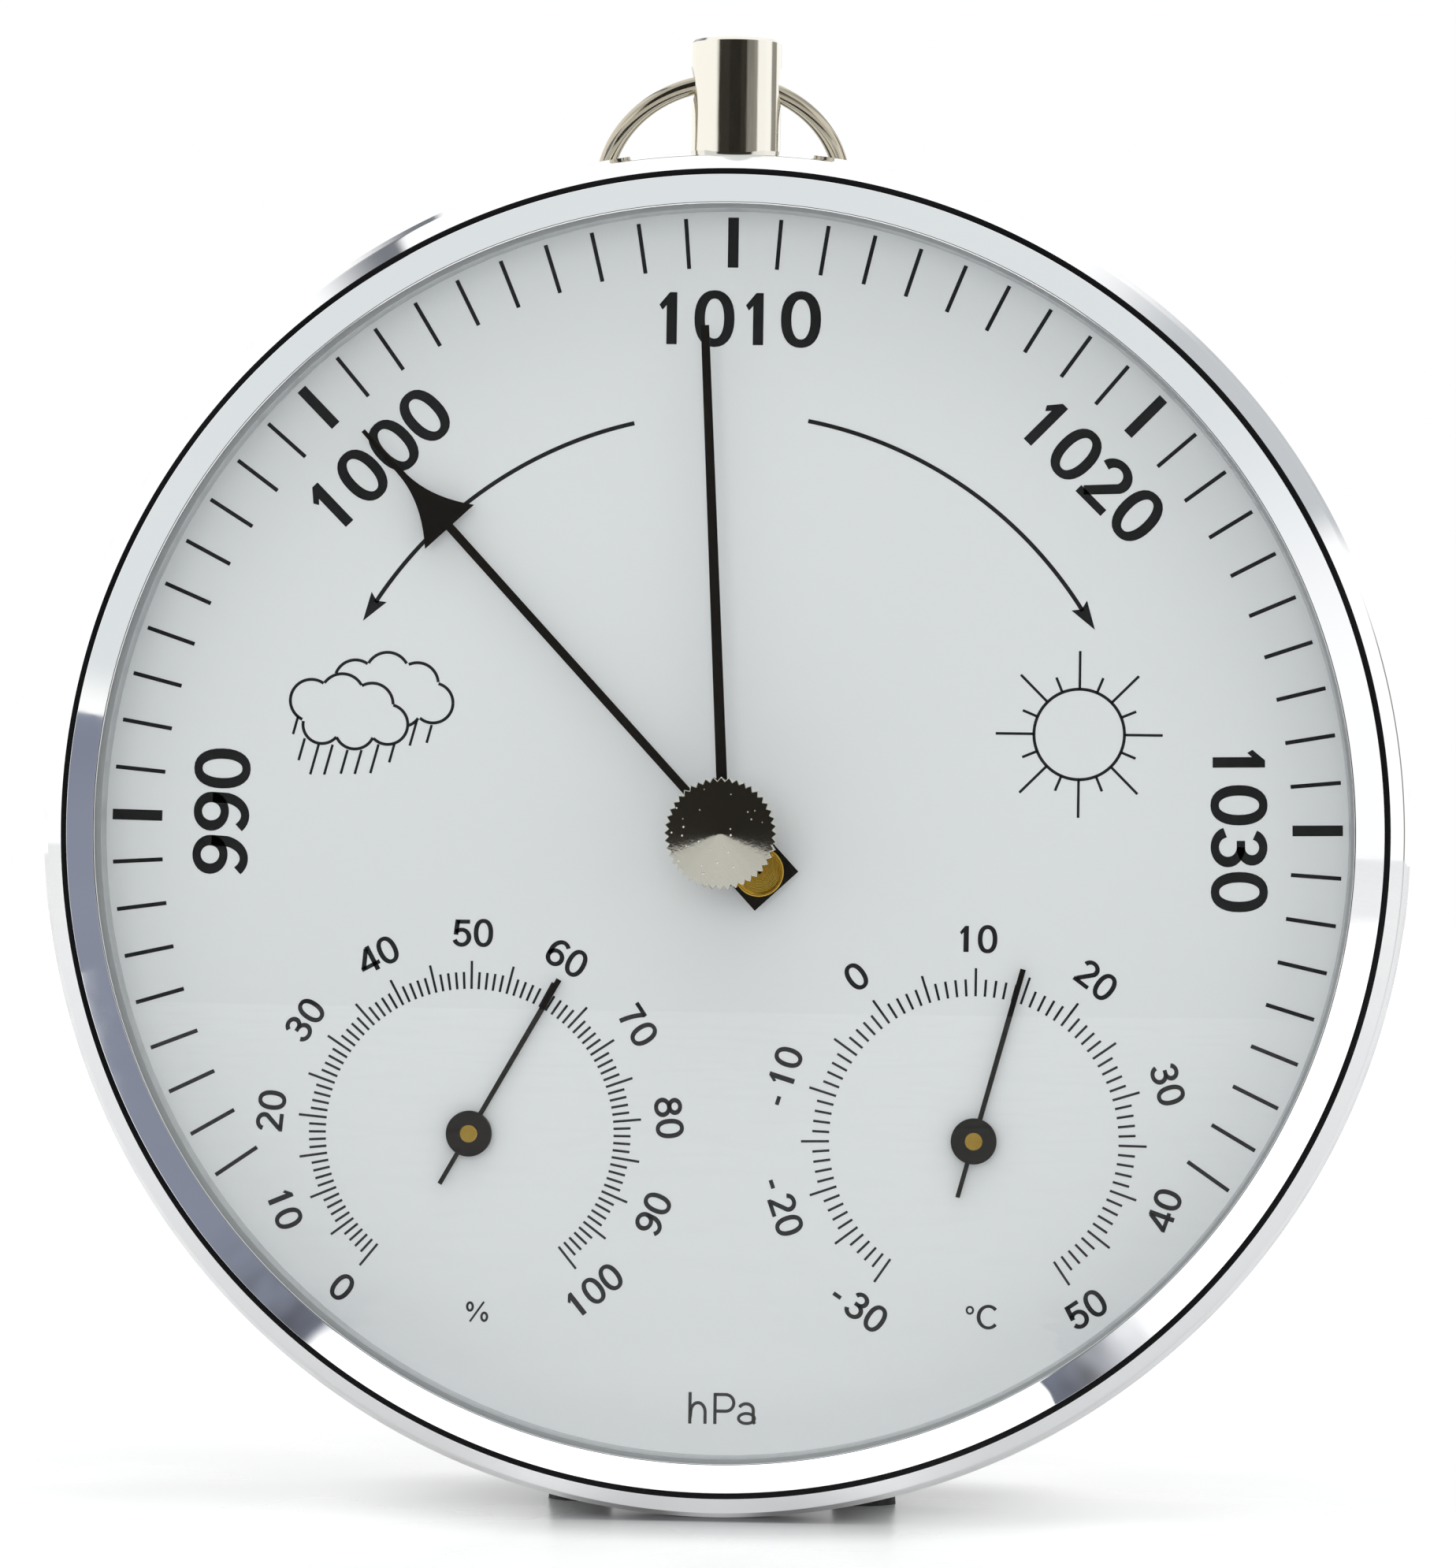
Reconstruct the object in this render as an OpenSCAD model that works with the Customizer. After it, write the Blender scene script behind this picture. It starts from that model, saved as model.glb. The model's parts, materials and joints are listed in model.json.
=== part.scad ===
// Desk weather station: a round chrome case that stands on its edge, with a barometer dial and
// two small dials for humidity and temperature, a set hand, a crown-like stem and a hanging ring.
// Depth is measured from the bezel's front edge towards the back. As seen from the front,
// x runs right and z runs up, and clock angles turn clockwise from twelve.

/* [Case] */
// Outer diameter of the case band
case_d = 136; // [132:1:160]
// Depth of the case band from its front lip to its back face
case_h = 11.8; // [11.4:0.2:16]
// Width of the case lip outside the bezel's groove
case_lip = 2.2; // [1.6:0.1:3]
// Wall of the case band behind the dial
case_wall = 3.6; // [3:0.1:5]
// Distance of the case lip behind the bezel's front edge
lip_back = 3.2; // [2.4:0.1:4]
// Rounding radius of the case's front shoulder
front_round = 4; // [3:0.1:5]
// Rounding radius of the case's rear edge
rear_round = 4.5; // [4:0.1:5]
// Thickness of the case's inward rear flange
flange_t = 1.4; // [1:0.1:2]
// Width of the ledge that carries the dial
ledge_w = 2.9; // [2:0.1:4]
// Thickness of the ledge that carries the dial
ledge_t = 1.5; // [1:0.1:2]

/* [Bezel and glass] */
// Width of the groove between bezel and case
bezel_gap = 0.6; // [0.4:0.05:1]
// Width of the bezel's bright face
bezel_face = 2.85; // [2.2:0.05:4]
// Depth of the bezel ring
bezel_h = 6.8; // [6:0.1:7.5]
// Thickness of the bezel's lip over the glass
bezel_lip_t = 1.9; // [1.5:0.1:2.5]
// Height of the bezel's crest above its inner edge
bezel_crest = 0.9; // [0.5:0.1:1.4]
// Thickness of the rubber seal under the bezel's lip
gasket_t = 0.5; // [0.3:0.1:1]
// Thickness of the glass
glass_t = 2; // [1.5:0.1:3]
// Rise of the domed glass at its middle
glass_rise = 1.8; // [0.5:0.1:2.4]
// Overlap of the bezel's lip over the glass edge
glass_lap = 1; // [0.6:0.1:1.5]
// Height of the light ring between glass and dial
spacer_h = 4.1; // [3.9:0.1:5]
// Step of the light ring inside the window edge
spacer_step = 0.35; // [0.2:0.05:0.8]

/* [Dial] */
// Thickness of the dial plate
dial_t = 0.8; // [0.5:0.1:1.5]
// Sideways distance of each small dial from the middle
sub_x = 25.15; // [24:0.05:28]
// Distance of the small dials below the middle
sub_drop = 30.3; // [28:0.1:32]
// Free space around what passes through the dial's holes
dial_hole_gap = 0.9; // [0.5:0.1:1.5]
// Free height between the dial and the small hands
hand_clear = 0.7; // [0.5:0.05:0.9]
// Free height between the small hands' rivets and the pointer
pointer_clear = 0.5; // [0.4:0.05:0.7]

/* [Barometer pointer] */
// Degrees of pointer travel for one hectopascal
deg_per_hpa = 4.45; // [4:0.05:5]
// Pressure shown at rest, in hectopascal
rest_hpa = 1000.4; // [985:0.1:1035]
// Reach of the pointer's tip from the middle
pointer_reach = 53.9; // [45:0.1:56]
// Distance of the arrowhead's barbs from the middle
barb_at = 41; // [35:0.1:43]
// Half width of the arrowhead across its barbs
barb_half = 3.28; // [2:0.05:4]
// Distance of the arrowhead's neck from the middle
neck_at = 48.4; // [44:0.1:50]
// Width of the needle in front of the neck
needle_w = 0.62; // [0.4:0.02:1]
// Width of the pointer's shaft
shaft_w = 0.86; // [0.6:0.02:1.4]
// Width of the counterweight plate
weight_w = 5.83; // [4:0.05:7]
// Reach of the counterweight plate behind the middle
weight_reach = 7.75; // [7:0.05:10]
// Reach of the counterweight plate towards the tip
weight_front = 2.9; // [2:0.1:4]
// Thickness of the pointer
pointer_t = 0.3; // [0.2:0.05:0.4]
// Radius of the pointer's brass bush
bush_r = 1.6; // [1.4:0.05:1.8]
// Step of the bush that holds the pointer
bush_step = 0.5; // [0.3:0.05:0.6]
// Height of the bush in front of the pointer
bush_lift = 0.6; // [0.4:0.05:0.8]
// Length of the bush behind the pointer
bush_drop = 0.8; // [0.5:0.05:0.9]
// Radius of the brass weight
disc_r = 2.48; // [2:0.02:2.8]
// Distance of the brass weight from the middle
disc_at = 5.15; // [4.6:0.05:6]
// Thickness of the brass weight
disc_t = 0.8; // [0.5:0.05:0.9]
// Depth of the turned recess in the brass weight
disc_dish = 0.25; // [0.1:0.05:0.4]
// Width of the brass weight's rim
disc_rim = 0.45; // [0.3:0.05:0.6]
// Radius of the brass weight's raised hub
disc_hub_r = 1.2; // [0.8:0.1:1.4]
// Radius of the brass weight's centre hole
disc_hole_r = 0.3; // [0.2:0.05:0.4]

/* [Set hand and knob] */
// Angle of the set hand, clockwise from twelve
set_angle = -2.9; // [-30:0.1:30]
// Reach of the set hand's tip from the middle
set_reach = 50.4; // [40:0.1:54]
// Width of the set hand at its tip
set_tip_w = 0.82; // [0.5:0.02:1.5]
// Width of the set hand at its hub
set_root_w = 1.1; // [0.8:0.02:2]
// Thickness of the set hand
set_t = 0.5; // [0.3:0.05:0.8]
// Radius over the knob's teeth
knob_r = 5.56; // [5:0.02:7]
// Number of teeth around the knob
knob_teeth = 44; // [36:1:50]
// Depth of the knob's teeth
knob_tooth = 0.5; // [0.3:0.05:0.7]
// Height of the knob
knob_h = 4.6; // [3.5:0.1:6]
// Height of the knob's cone
knob_cone = 1.5; // [0.8:0.1:2]
// Radius of the flat at the knob's tip
knob_tip_r = 0.4; // [0.2:0.1:1]
// Height of the knob's plain collar against the glass
collar_h = 0.6; // [0.4:0.1:1]
// Radius of the knob's spindle
spindle_r = 2; // [1.5:0.1:2.5]
// Length of the spindle past the set hand
spindle_end = 0.25; // [0.1:0.05:0.4]
// Radius of the set hand's hub
set_hub_r = 3.6; // [3.2:0.1:4.5]
// Outer radius of the sprung washer
washer_r = 4; // [3.6:0.1:5]
// Thickness of the sprung washer
washer_t = 0.3; // [0.2:0.05:0.4]

/* [Small dials] */
// Relative humidity shown at rest, in percent
rest_humidity = 60.5; // [5:0.1:95]
// Degrees of hand travel for one percent
deg_per_percent = 2.82; // [2.5:0.01:2.9]
// Temperature shown at rest, in degrees Celsius
rest_temp = 14.2; // [-25:0.1:45]
// Degrees of hand travel for one degree Celsius
deg_per_celsius = 3.64; // [3:0.01:3.7]
// Reach of a small hand's tip
hand_reach = 17.8; // [14:0.1:18]
// Reach of a small hand's tail
hand_tail = 5.8; // [4:0.1:7]
// Width of a small hand at its tip
hand_tip_w = 0.56; // [0.4:0.02:1]
// Width of a small hand at its tail
hand_tail_w = 0.44; // [0.3:0.02:1]
// Thickness of a small hand
hand_t = 0.3; // [0.2:0.05:0.4]
// Radius of a small hand's boss
boss_r = 2.28; // [1.8:0.02:2.6]
// Height of the boss in front of the hand
boss_lift = 0.35; // [0.2:0.05:0.5]
// Radius of the brass rivet in the boss
rivet_r = 0.86; // [0.7:0.02:1.2]
// Height of the rivet in front of the boss
rivet_lift = 0.15; // [0.1:0.05:0.25]
// Radius of a small dial's arbor
fine_r = 0.5; // [0.4:0.05:0.6]
// Outer radius of the instrument cups behind the small dials
cup_r = 11.5; // [10:0.1:12]
// Wall of the instrument cups
cup_wall = 0.6; // [0.5:0.05:1]
// Number of breathing holes in each cup
cup_holes = 6; // [4:1:8]
// Radius of a breathing hole
cup_hole_r = 1.4; // [1:0.1:2]
// Distance of the breathing holes from a cup's middle
cup_hole_at = 6.9; // [5:0.1:8]
// Radius of the hub that holds a strip's inner end
strip_hub_r = 1.1; // [0.9:0.05:1.3]
// Number of turns of the humidity strip
strip_turns = 4; // [3:1:5]
// Thickness of the humidity strip
strip_t = 0.3; // [0.2:0.05:0.4]
// Number of turns of the bimetal strip
bimetal_turns = 5; // [3:1:5]
// Thickness of the bimetal strip
bimetal_t = 0.5; // [0.3:0.05:0.6]
// Width of both strips
strip_w = 3.2; // [2:0.1:3.8]

/* [Stem and hanging ring] */
// Diameter of the stem
stem_d = 9; // [8:0.1:10]
// Height of the stem's top above the case band
stem_h = 11.2; // [10.8:0.1:14]
// Chamfer at the stem's top
stem_chamfer = 0.8; // [0.4:0.1:1.4]
// Distance of the cross hole below the stem's top
hole_drop = 4.6; // [4:0.1:5]
// Diameter of the stem's cross hole
hole_d = 3.15; // [3.1:0.05:3.6]
// Width of the countersink at the hole's mouths
mouth_w = 0.5; // [0.2:0.1:0.8]
// Distance of the stem's axis in front of the case's back face
stem_in = 4.7; // [4.5:0.1:5.5]
// Turn of the stem, which brings the hole's left mouth forward
stem_turn = 5; // [0:1:6]
// Radius of the threaded spigot under the stem
spigot_r = 2.5; // [2:0.1:3]
// Length of the spigot in the case band
spigot_h = 2.8; // [2:0.1:2.9]
// Radius of the ring to the middle of its wire
ring_r = 12.05; // [11.5:0.05:13]
// Diameter of the ring's wire
wire_d = 1.75; // [1.4:0.05:1.8]
// Slide of the ring towards the left through its hole
ring_slide = 0.9; // [0:0.1:1]
// Backward lean of the ring when it rests on the case's rear edge
ring_lean = 33; // [33:1:45]

/* [Rear housing] */
// Free width between the instrument cups and the case's rear opening
cup_room = 1.1; // [0.8:0.1:1.6]
// Depth of the rear housing behind the case
can_h = 21; // [20.5:0.1:26]
// Wall of the rear housing
can_wall = 1.8; // [1.2:0.1:2.4]
// Rounding radius of the rear housing's back edge
can_round = 4; // [2.5:0.5:5]
// Width of the rear housing's flange
can_flange = 6.5; // [6:0.1:7]
// Thickness of the rear housing's flange
can_flange_t = 1.6; // [1.2:0.1:2]
// Free width between the case's rear opening and the housing's wall
back_gap = 1; // [0.5:0.1:1.5]
// Number of ventilation slots
vent_count = 16; // [8:1:20]
// Width of a ventilation slot
vent_w = 2.6; // [1.5:0.1:4]
// Length of a ventilation slot
vent_l = 11; // [6:0.5:12]
// Distance of the slots' middle from the axis
vent_at = 36; // [34:0.5:38]
// Number of housing screws
screw_count = 4; // [3:1:6]
// Radius of a screw's shank
screw_r = 1.1; // [0.9:0.05:1.3]
// Radius of a screw head
screw_head_r = 2; // [1.6:0.1:2.4]
// Height of a screw head
screw_head_h = 1.4; // [1:0.1:1.8]
// Width of the slots in a screw head
screw_slot_w = 0.6; // [0.4:0.05:0.8]
// Length of the slots in a screw head
screw_slot_l = 2.6; // [2:0.1:3]
// Sideways distance of each foot from the middle
foot_x = 14.4; // [12:0.1:20]
// Distance of the feet behind the case's back face
foot_back = 8; // [6:0.1:12]
// Radius of the pegs that carry the feet
peg_r = 2.4; // [2:0.1:2.7]
// Radius of a rubber foot at its sole
foot_r = 3.3; // [3.1:0.1:4.5]
// Taper of a rubber foot towards its top
foot_taper = 0.5; // [0.2:0.05:0.6]
// Height of a rubber foot
foot_h = 5; // [4:0.1:7]
// Thickness of a foot's sole under its peg
sole_t = 2.5; // [1.5:0.1:3]

/* [Movement frame] */
// Radius of the movement plate
plate_r = 43; // [41:0.1:46]
// Thickness of the movement plate
plate_t = 1.5; // [1:0.1:1.8]
// Distance between the dial and the movement plate
plate_gap = 19.7; // [19.4:0.1:20.5]
// Radius of the two openings in the movement plate
plate_hole_r = 7.8; // [5:0.1:9]
// Sideways distance of those openings from the middle
plate_hole_x = 28.4; // [27:0.1:30]
// Distance of those openings below the middle
plate_hole_drop = 14.2; // [12:0.1:16]
// Radius of a pillar
pillar_r = 2.5; // [2:0.1:3]
// Distance of the pillars from the middle
pillar_at = 37; // [36:0.1:39]
// Angle of the upper pillars from twelve
pillar_turn = 68; // [60:1:72]
// Length of a screw in its pillar
pillar_screw_l = 4; // [3:0.1:6]
// Thickness of the wheel bridges
bridge_t = 0.8; // [0.6:0.05:1]
// Distance of the front bridge behind the dial
bridge_back = 1.1; // [0.8:0.05:1.3]
// Width of the bridges
bridge_w = 10; // [9:0.1:12]
// Width of the window in the bridges
window_w = 5; // [3:0.1:6]
// Height of the window in the bridges
window_h = 12; // [8:0.1:14]
// Radius of the bridges around a post
lug_r = 3; // [2.5:0.1:3.5]
// Radius of the bridges' posts
post_r = 1.8; // [1.4:0.1:2.2]
// Radius of the pins on the posts
post_pin_r = 0.9; // [0.7:0.05:1.1]
// Height of the nuts on the posts
post_nut_h = 0.9; // [0.6:0.1:1.2]
// Distance of the lower post below the middle
post_drop = 8; // [7:0.1:9]
// Sideways distance of the upper posts from the middle
post_x = 9.5; // [9:0.1:11]
// Distance of the upper posts below the sector's pivot
post_below = 2; // [1:0.1:3]
// Free height in front of the sector
wheel_clear = 1.2; // [1:0.1:1.4]

/* [Gearing] */
// Size of the teeth as pitch diameter over tooth count
gear_module = 0.4; // [0.35:0.01:0.42]
// Teeth of the pointer's pinion
pinion_teeth = 14; // [14:1:16]
// Teeth on the sector's full circle
sector_full = 140; // [130:1:144]
// Teeth on either side of the sector's middle tooth
sector_side = 6; // [6:1:7]
// Play between meshing teeth
backlash = 0.08; // [0.06:0.01:0.12]
// Thickness of the sector
sector_t = 0.8; // [0.5:0.1:1]
// Width of the sector's rim behind its pitch circle
sector_rim = 3.4; // [2:0.1:5]
// Width of the sector's spokes
spoke_w = 1.8; // [1.2:0.1:2.5]
// Angle between each spoke and the sector's middle
spoke_turn = 13; // [10:0.5:14]
// Radius of the sector's hub
sector_hub_r = 2.6; // [2:0.1:3.5]
// Half width of the sector's tail at its pin
tail_half = 1.3; // [1:0.1:1.6]
// Distance of the sector's tail pin from its pivot
tail_at = 6.6; // [6.2:0.1:7.5]
// Radius of the tail pin and the long arm's pin
tail_pin_r = 0.4; // [0.3:0.05:0.5]
// Length of the pinion
pinion_h = 1.6; // [1.2:0.1:1.8]
// Radius of the pointer's and the sector's arbors
arbor_r = 0.6; // [0.5:0.05:0.8]
// Length of an arbor past its bearing
arbor_end = 0.2; // [0.1:0.05:0.3]
// Number of hairspring turns
hair_turns = 5; // [3:1:5]
// Thickness of the hairspring
hair_t = 0.14; // [0.1:0.01:0.2]
// Width of the hairspring
hair_w = 0.7; // [0.4:0.05:0.8]
// Outer radius of the hairspring
hair_r = 4.5; // [4.2:0.1:4.7]
// Radius of the collet inside the hairspring
collet_r = 1; // [0.9:0.05:1.2]
// Radius of the stud that holds the hairspring
stud_r = 0.5; // [0.4:0.05:0.6]
// Free height around the hairspring
hair_clear = 0.4; // [0.3:0.05:0.6]

/* [Capsule and levers] */
// Radius of the aneroid capsule
capsule_r = 17; // [14:0.5:17.5]
// Radius of the capsule's flat middle
capsule_mid_r = 4; // [3:0.1:5]
// Number of corrugations on each side of the capsule
capsule_waves = 4; // [3:1:5]
// Height of the corrugations
wave_h = 0.5; // [0.3:0.05:0.6]
// Thickness of the capsule's walls
capsule_t = 0.4; // [0.3:0.05:0.5]
// Thickness of the capsule's rim
rim_t = 0.8; // [0.6:0.05:1]
// Width of the capsule's plain edge
edge_w = 1.2; // [1:0.1:1.6]
// Height of the capsule
capsule_h = 5.4; // [5:0.1:5.6]
// Gap between the capsule's two shells, which a seal closes
capsule_gap = 0.7; // [0.6:0.05:0.9]
// Height of the stud that holds the capsule on its carrier
base_stud_h = 1.2; // [0.9:0.1:1.3]
// Thickness of the capsule's carrier
carrier_t = 1.2; // [1:0.1:1.4]
// Width of the capsule's carrier
carrier_w = 8; // [6:0.5:12]
// Reach of the carrier above the middle
carrier_reach = 14; // [10:0.5:16]
// Radius of the capsule's front stud
top_stud_r = 2.2; // [1.5:0.1:2.6]
// Radius of the stud's tip in the main lever
top_tip_r = 0.9; // [0.7:0.05:1.1]
// Distance of the main lever's pivot below the middle
lever_drop = 24; // [23:0.5:26]
// Height of the lever's free end above the middle
lever_rise = 22; // [21.5:0.1:23]
// Thickness of the main lever
lever_t = 0.8; // [0.6:0.1:1]
// Half width of the main lever at its pivot
lever_half = 5.2; // [4:0.1:6]
// Half width of the main lever near its free end
lever_neck = 2.4; // [1.8:0.1:3]
// Half width of the main lever's side arm
lever_arm = 1.4; // [1:0.1:1.6]
// Free height between the rear bridge and the main lever
lever_clear = 2.4; // [2:0.1:2.8]
// Radius of the main lever's hinge pin
lever_pin_r = 0.8; // [0.6:0.05:1]
// Radius of the lever's barrel around that pin
barrel_r = 1.6; // [1.3:0.1:2]
// Radius of the bracket's ears
ear_r = 2.2; // [1.8:0.1:2.6]
// Thickness of the bracket's ears and of the rocking shaft's lugs
ear_t = 1.2; // [0.8:0.1:1.6]
// Length of the bracket's feet on the movement plate
bracket_foot = 3; // [2:0.1:4]
// Thickness of the brackets' feet
bracket_t = 1; // [0.8:0.1:1.2]
// Distance of the rocking shaft to the right of the middle
rocker_x = 16; // [15.5:0.1:17]
// Radius of the rocking shaft
rocker_r = 0.8; // [0.6:0.05:1]
// Length of the rocking shaft's long arm
rocker_arm = 8.3; // [8:0.05:8.5]
// Length of the rocking shaft's crank
crank_l = 2.6; // [2.5:0.05:2.8]
// Radius of the crank's pin
crank_pin_r = 0.5; // [0.4:0.05:0.6]
// Width of the rocking shaft's arms
arm_w = 1.1; // [0.8:0.1:1.3]
// Thickness of the rocking shaft's arms
arm_t = 0.8; // [0.6:0.1:1]
// Half width of the lugs that carry the rocking shaft
lug_half = 2.4; // [1.8:0.1:3]
// Distance of the lower lug below the main lever's end
lug_below = 5; // [4.5:0.1:7]
// Distance of the upper lug below the link
lug_above = 4.4; // [4:0.1:6]
// Width of the pull link
link_w = 1; // [0.8:0.1:1.2]
// Thickness of the pull link
link_t = 0.5; // [0.4:0.05:0.6]
// Wall around the eyes of the link and the lever
eye_wall = 0.45; // [0.35:0.05:0.6]
// Distance of the adjusting screw below the middle
adjuster_drop = 31; // [30:0.1:33]
// Radius of the adjusting screw
adjuster_r = 1.5; // [1.2:0.1:1.8]
// Radius of the adjusting screw's head
adjuster_head_r = 2.5; // [2:0.1:2.8]
// Height of the adjusting screw's head
adjuster_head_h = 1.6; // [1.2:0.1:2]
// Radius of the hole for a screwdriver in the rear housing
access_r = 3; // [2.5:0.1:4]

/* [Fits] */
// Radial gap between parts that are slipped together
seat_gap = 0.1; // [0.05:0.01:0.15]
// Radial gap of a shaft that turns in a hole
run_gap = 0.05; // [0.02:0.01:0.08]
// Free space between parts that move past each other
free_gap = 0.3; // [0.25:0.05:0.35]
// Radial play of a pin in an eye that swings past it
eye_gap = 0.25; // [0.2:0.01:0.3]

/* [Hidden] */

// Facets, steps along an arc, a hair's overlap of joined faces and the overshoot of a cut
$fn = 96;
small_fn = 32;
arc_steps = 10;
skin = 0.02;
over = 1;

// Values that the three scales show at twelve o'clock
scale_mid_hpa = 1010;
scale_mid_percent = 50;
scale_mid_temp = 10;

// Radii of the case, the bezel and what they hold
case_r = case_d / 2;
lip_r = case_r - case_lip;
bezel_r = lip_r - bezel_gap;
window_r = bezel_r - bezel_face;
glass_r = window_r + glass_lap;
pack_bore_r = glass_r + seat_gap;
light_r = window_r - spacer_step;
ledge_r = glass_r - ledge_w;
drum_r = case_r - case_wall;
back_open_r = norm([sub_x, sub_drop]) + cup_r + cup_room;
can_r = back_open_r - back_gap;
can_inner_r = can_r - can_wall;

// Depths of the stack from the bezel's front edge
glass_front = bezel_lip_t + gasket_t;
glass_back = glass_front + glass_t;
glass_apex = glass_front - glass_rise;
under_glass = glass_apex + glass_t;
dial_front = glass_back + spacer_h;
dial_back = dial_front + dial_t;
case_back = lip_back + case_h;
can_back = case_back + can_h;
stem_depth = case_back - stem_in;
foot_depth = case_back + foot_back;

// Hands between the dial and the glass, each placed from the one behind it
hand_back = dial_front - hand_clear;
hand_front = hand_back - hand_t;
rivet_front = hand_front - boss_lift - rivet_lift;
pointer_back = rivet_front - pointer_clear;
pointer_front = pointer_back - pointer_t;
arbor_front = pointer_front - bush_lift - arbor_end;
set_back = arbor_front - free_gap - spindle_end;
set_front = set_back - set_t;

// Knob on the glass
knob_back = glass_apex - skin;
knob_front = knob_back - knob_h;

// The whole part is centred on its box and stands on the table
y_mid = (knob_front + can_back) / 2;
axis_h = case_r;
function y_at(depth) = depth - y_mid;

// Angles of the moving parts at rest, clockwise from twelve
pointer_angle = (rest_hpa - scale_mid_hpa) * deg_per_hpa;
hygro_angle = (rest_humidity - scale_mid_percent) * deg_per_percent;
thermo_angle = (rest_temp - scale_mid_temp) * deg_per_celsius;
gear_ratio = pinion_teeth / sector_full;
sector_angle = -pointer_angle * gear_ratio;
link_shift = tail_at * sin(sector_angle);
rocker_angle = asin(link_shift / rocker_arm);
lever_span = lever_drop + lever_rise;
lever_angle = asin(crank_l * sin(rocker_angle) / lever_span);
capsule_shift = -lever_drop * sin(lever_angle);

// Depths of the movement
front_bridge_at = dial_back + bridge_back;
wheels_at = front_bridge_at + bridge_t;
sector_at = wheels_at + wheel_clear;
sector_back = sector_at + sector_t;
pinion_at = sector_at + sector_t / 2 - pinion_h / 2;
link_at = sector_back + free_gap;
tail_pin_end = link_at + link_t + free_gap;
hair_at = tail_pin_end;
rear_bridge_at = hair_at + hair_w + hair_clear;
bridges_end = rear_bridge_at + bridge_t;
lever_at = bridges_end + lever_clear;
lever_mid = lever_at + lever_t / 2;
rocker_depth = link_at + link_t / 2 + rocker_arm;
plate_at = dial_back + plate_gap;
carrier_at = plate_at - carrier_t;
capsule_back = carrier_at - base_stud_h;
capsule_front = capsule_back - capsule_h;
capsule_mid = capsule_front + capsule_h / 2;

// Heights of the gear train and the levers above the middle
pinion_pitch_r = gear_module * pinion_teeth / 2;
sector_pitch_r = gear_module * sector_full / 2;
sector_pivot_z = pinion_pitch_r + sector_pitch_r;
tail_z = sector_pivot_z + tail_at;
post_z = sector_pivot_z - post_below;
lug_low = lever_rise - lug_below;
lug_high = tail_z - lug_above;
tooth_tip = 0.8 * gear_module;
tooth_root = 1.1 * gear_module;
pressure_angle = 20;

// Places on the axis, seen from the front: children are drawn with x right and y up
module front_view(x, z, depth) {
    translate([x, y_at(depth), axis_h + z]) rotate([90, 0, 0]) children();
}

// A flat outline, extruded from one depth back by a thickness and turned clockwise
module slab(x, z, depth, t, turn = 0) {
    front_view(x, z, depth + t) rotate([0, 0, -turn]) linear_extrude(t) children();
}

// A round bar along the depth
module rod(x, z, depth, t, r) {
    front_view(x, z, depth + t) cylinder(h = t, r = r);
}

// A round bar upwards from a height above the middle
module upright(x, z, depth, h, r) {
    translate([x, y_at(depth), axis_h + z]) cylinder(h = h, r = r);
}

// A round bar to the left and right of the middle
module crossbar(z, depth, half, r) {
    translate([-half, y_at(depth), axis_h + z]) rotate([0, 90, 0]) cylinder(h = 2 * half, r = r);
}

// A body turned from a profile of [radius, depth] points
module turned(x, z, points) {
    front_view(x, z, 0) rotate_extrude() polygon([for (p = points) [p[0], -p[1]]]);
}

// Points on an arc, in a plane of radius and depth
function arc(cx, cy, r, from, to, steps = arc_steps) =
    [for (i = [0 : steps]) let (a = from + (to - from) * i / steps) [cx + r * cos(a), cy + r * sin(a)]];

// Depth of a shallow dome at a radius, given its rise over the glass radius
function dome(r, rise) = let (big = (glass_r * glass_r + rise * rise) / (2 * rise))
    big - sqrt(big * big - r * r);

// A bar with round ends
module slot_2d(length, width) {
    square([length - width, width], center = true);
    for (side = [-1, 1]) translate([side * (length - width) / 2, 0]) circle(d = width, $fn = small_fn);
}

// A long thin trapezium from a root to a tip
module taper_2d(from, to, root_w, tip_w) {
    polygon([[-root_w / 2, from], [root_w / 2, from], [tip_w / 2, to], [-tip_w / 2, to]]);
}

// Case band, outer side from the front lip to the rear flange
lip_angle = acos((front_round - case_lip) / front_round);
case_outer = concat(
    arc(case_r - front_round, lip_back + front_round * sin(lip_angle), front_round, -lip_angle, 0),
    arc(case_r - rear_round, case_back - rear_round, rear_round, 0, 90));
bezel_seat = bezel_h + 2 * seat_gap;
ledge_back = dial_back + ledge_t;
case_inner = [[back_open_r, case_back], [back_open_r, case_back - flange_t], [drum_r, case_back - flange_t],
    [drum_r, ledge_back], [ledge_r, ledge_back], [ledge_r, dial_back], [pack_bore_r, dial_back],
    [pack_bore_r, bezel_seat], [lip_r, bezel_seat]];
screw_at = can_r + can_flange / 2;

module at_screws() {
    step = 360 / screw_count;
    for (i = [0 : screw_count - 1]) {
        a = (i + 0.5) * step;
        translate([screw_at * sin(a), 0, screw_at * cos(a)]) children();
    }
}

module case_ring() {
    color("gainsboro") difference() {
        turned(0, 0, concat(case_outer, case_inner));
        at_screws() rod(0, 0, case_back - flange_t - over, flange_t + 2 * over, screw_r + run_gap);
        upright(0, case_r - spigot_h - seat_gap, stem_depth, spigot_h + over, spigot_r + run_gap);
    }
}

module bezel() {
    outer_round = bezel_face - bezel_crest;
    crest = concat(arc(window_r + bezel_crest, bezel_crest, bezel_crest, 180, 270),
        arc(bezel_r - outer_round, outer_round, outer_round, 270, 360));
    color("silver") turned(0, 0, concat(crest, [[bezel_r, bezel_h], [pack_bore_r, bezel_h],
        [pack_bore_r, bezel_lip_t], [window_r, bezel_lip_t]]));
}

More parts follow.
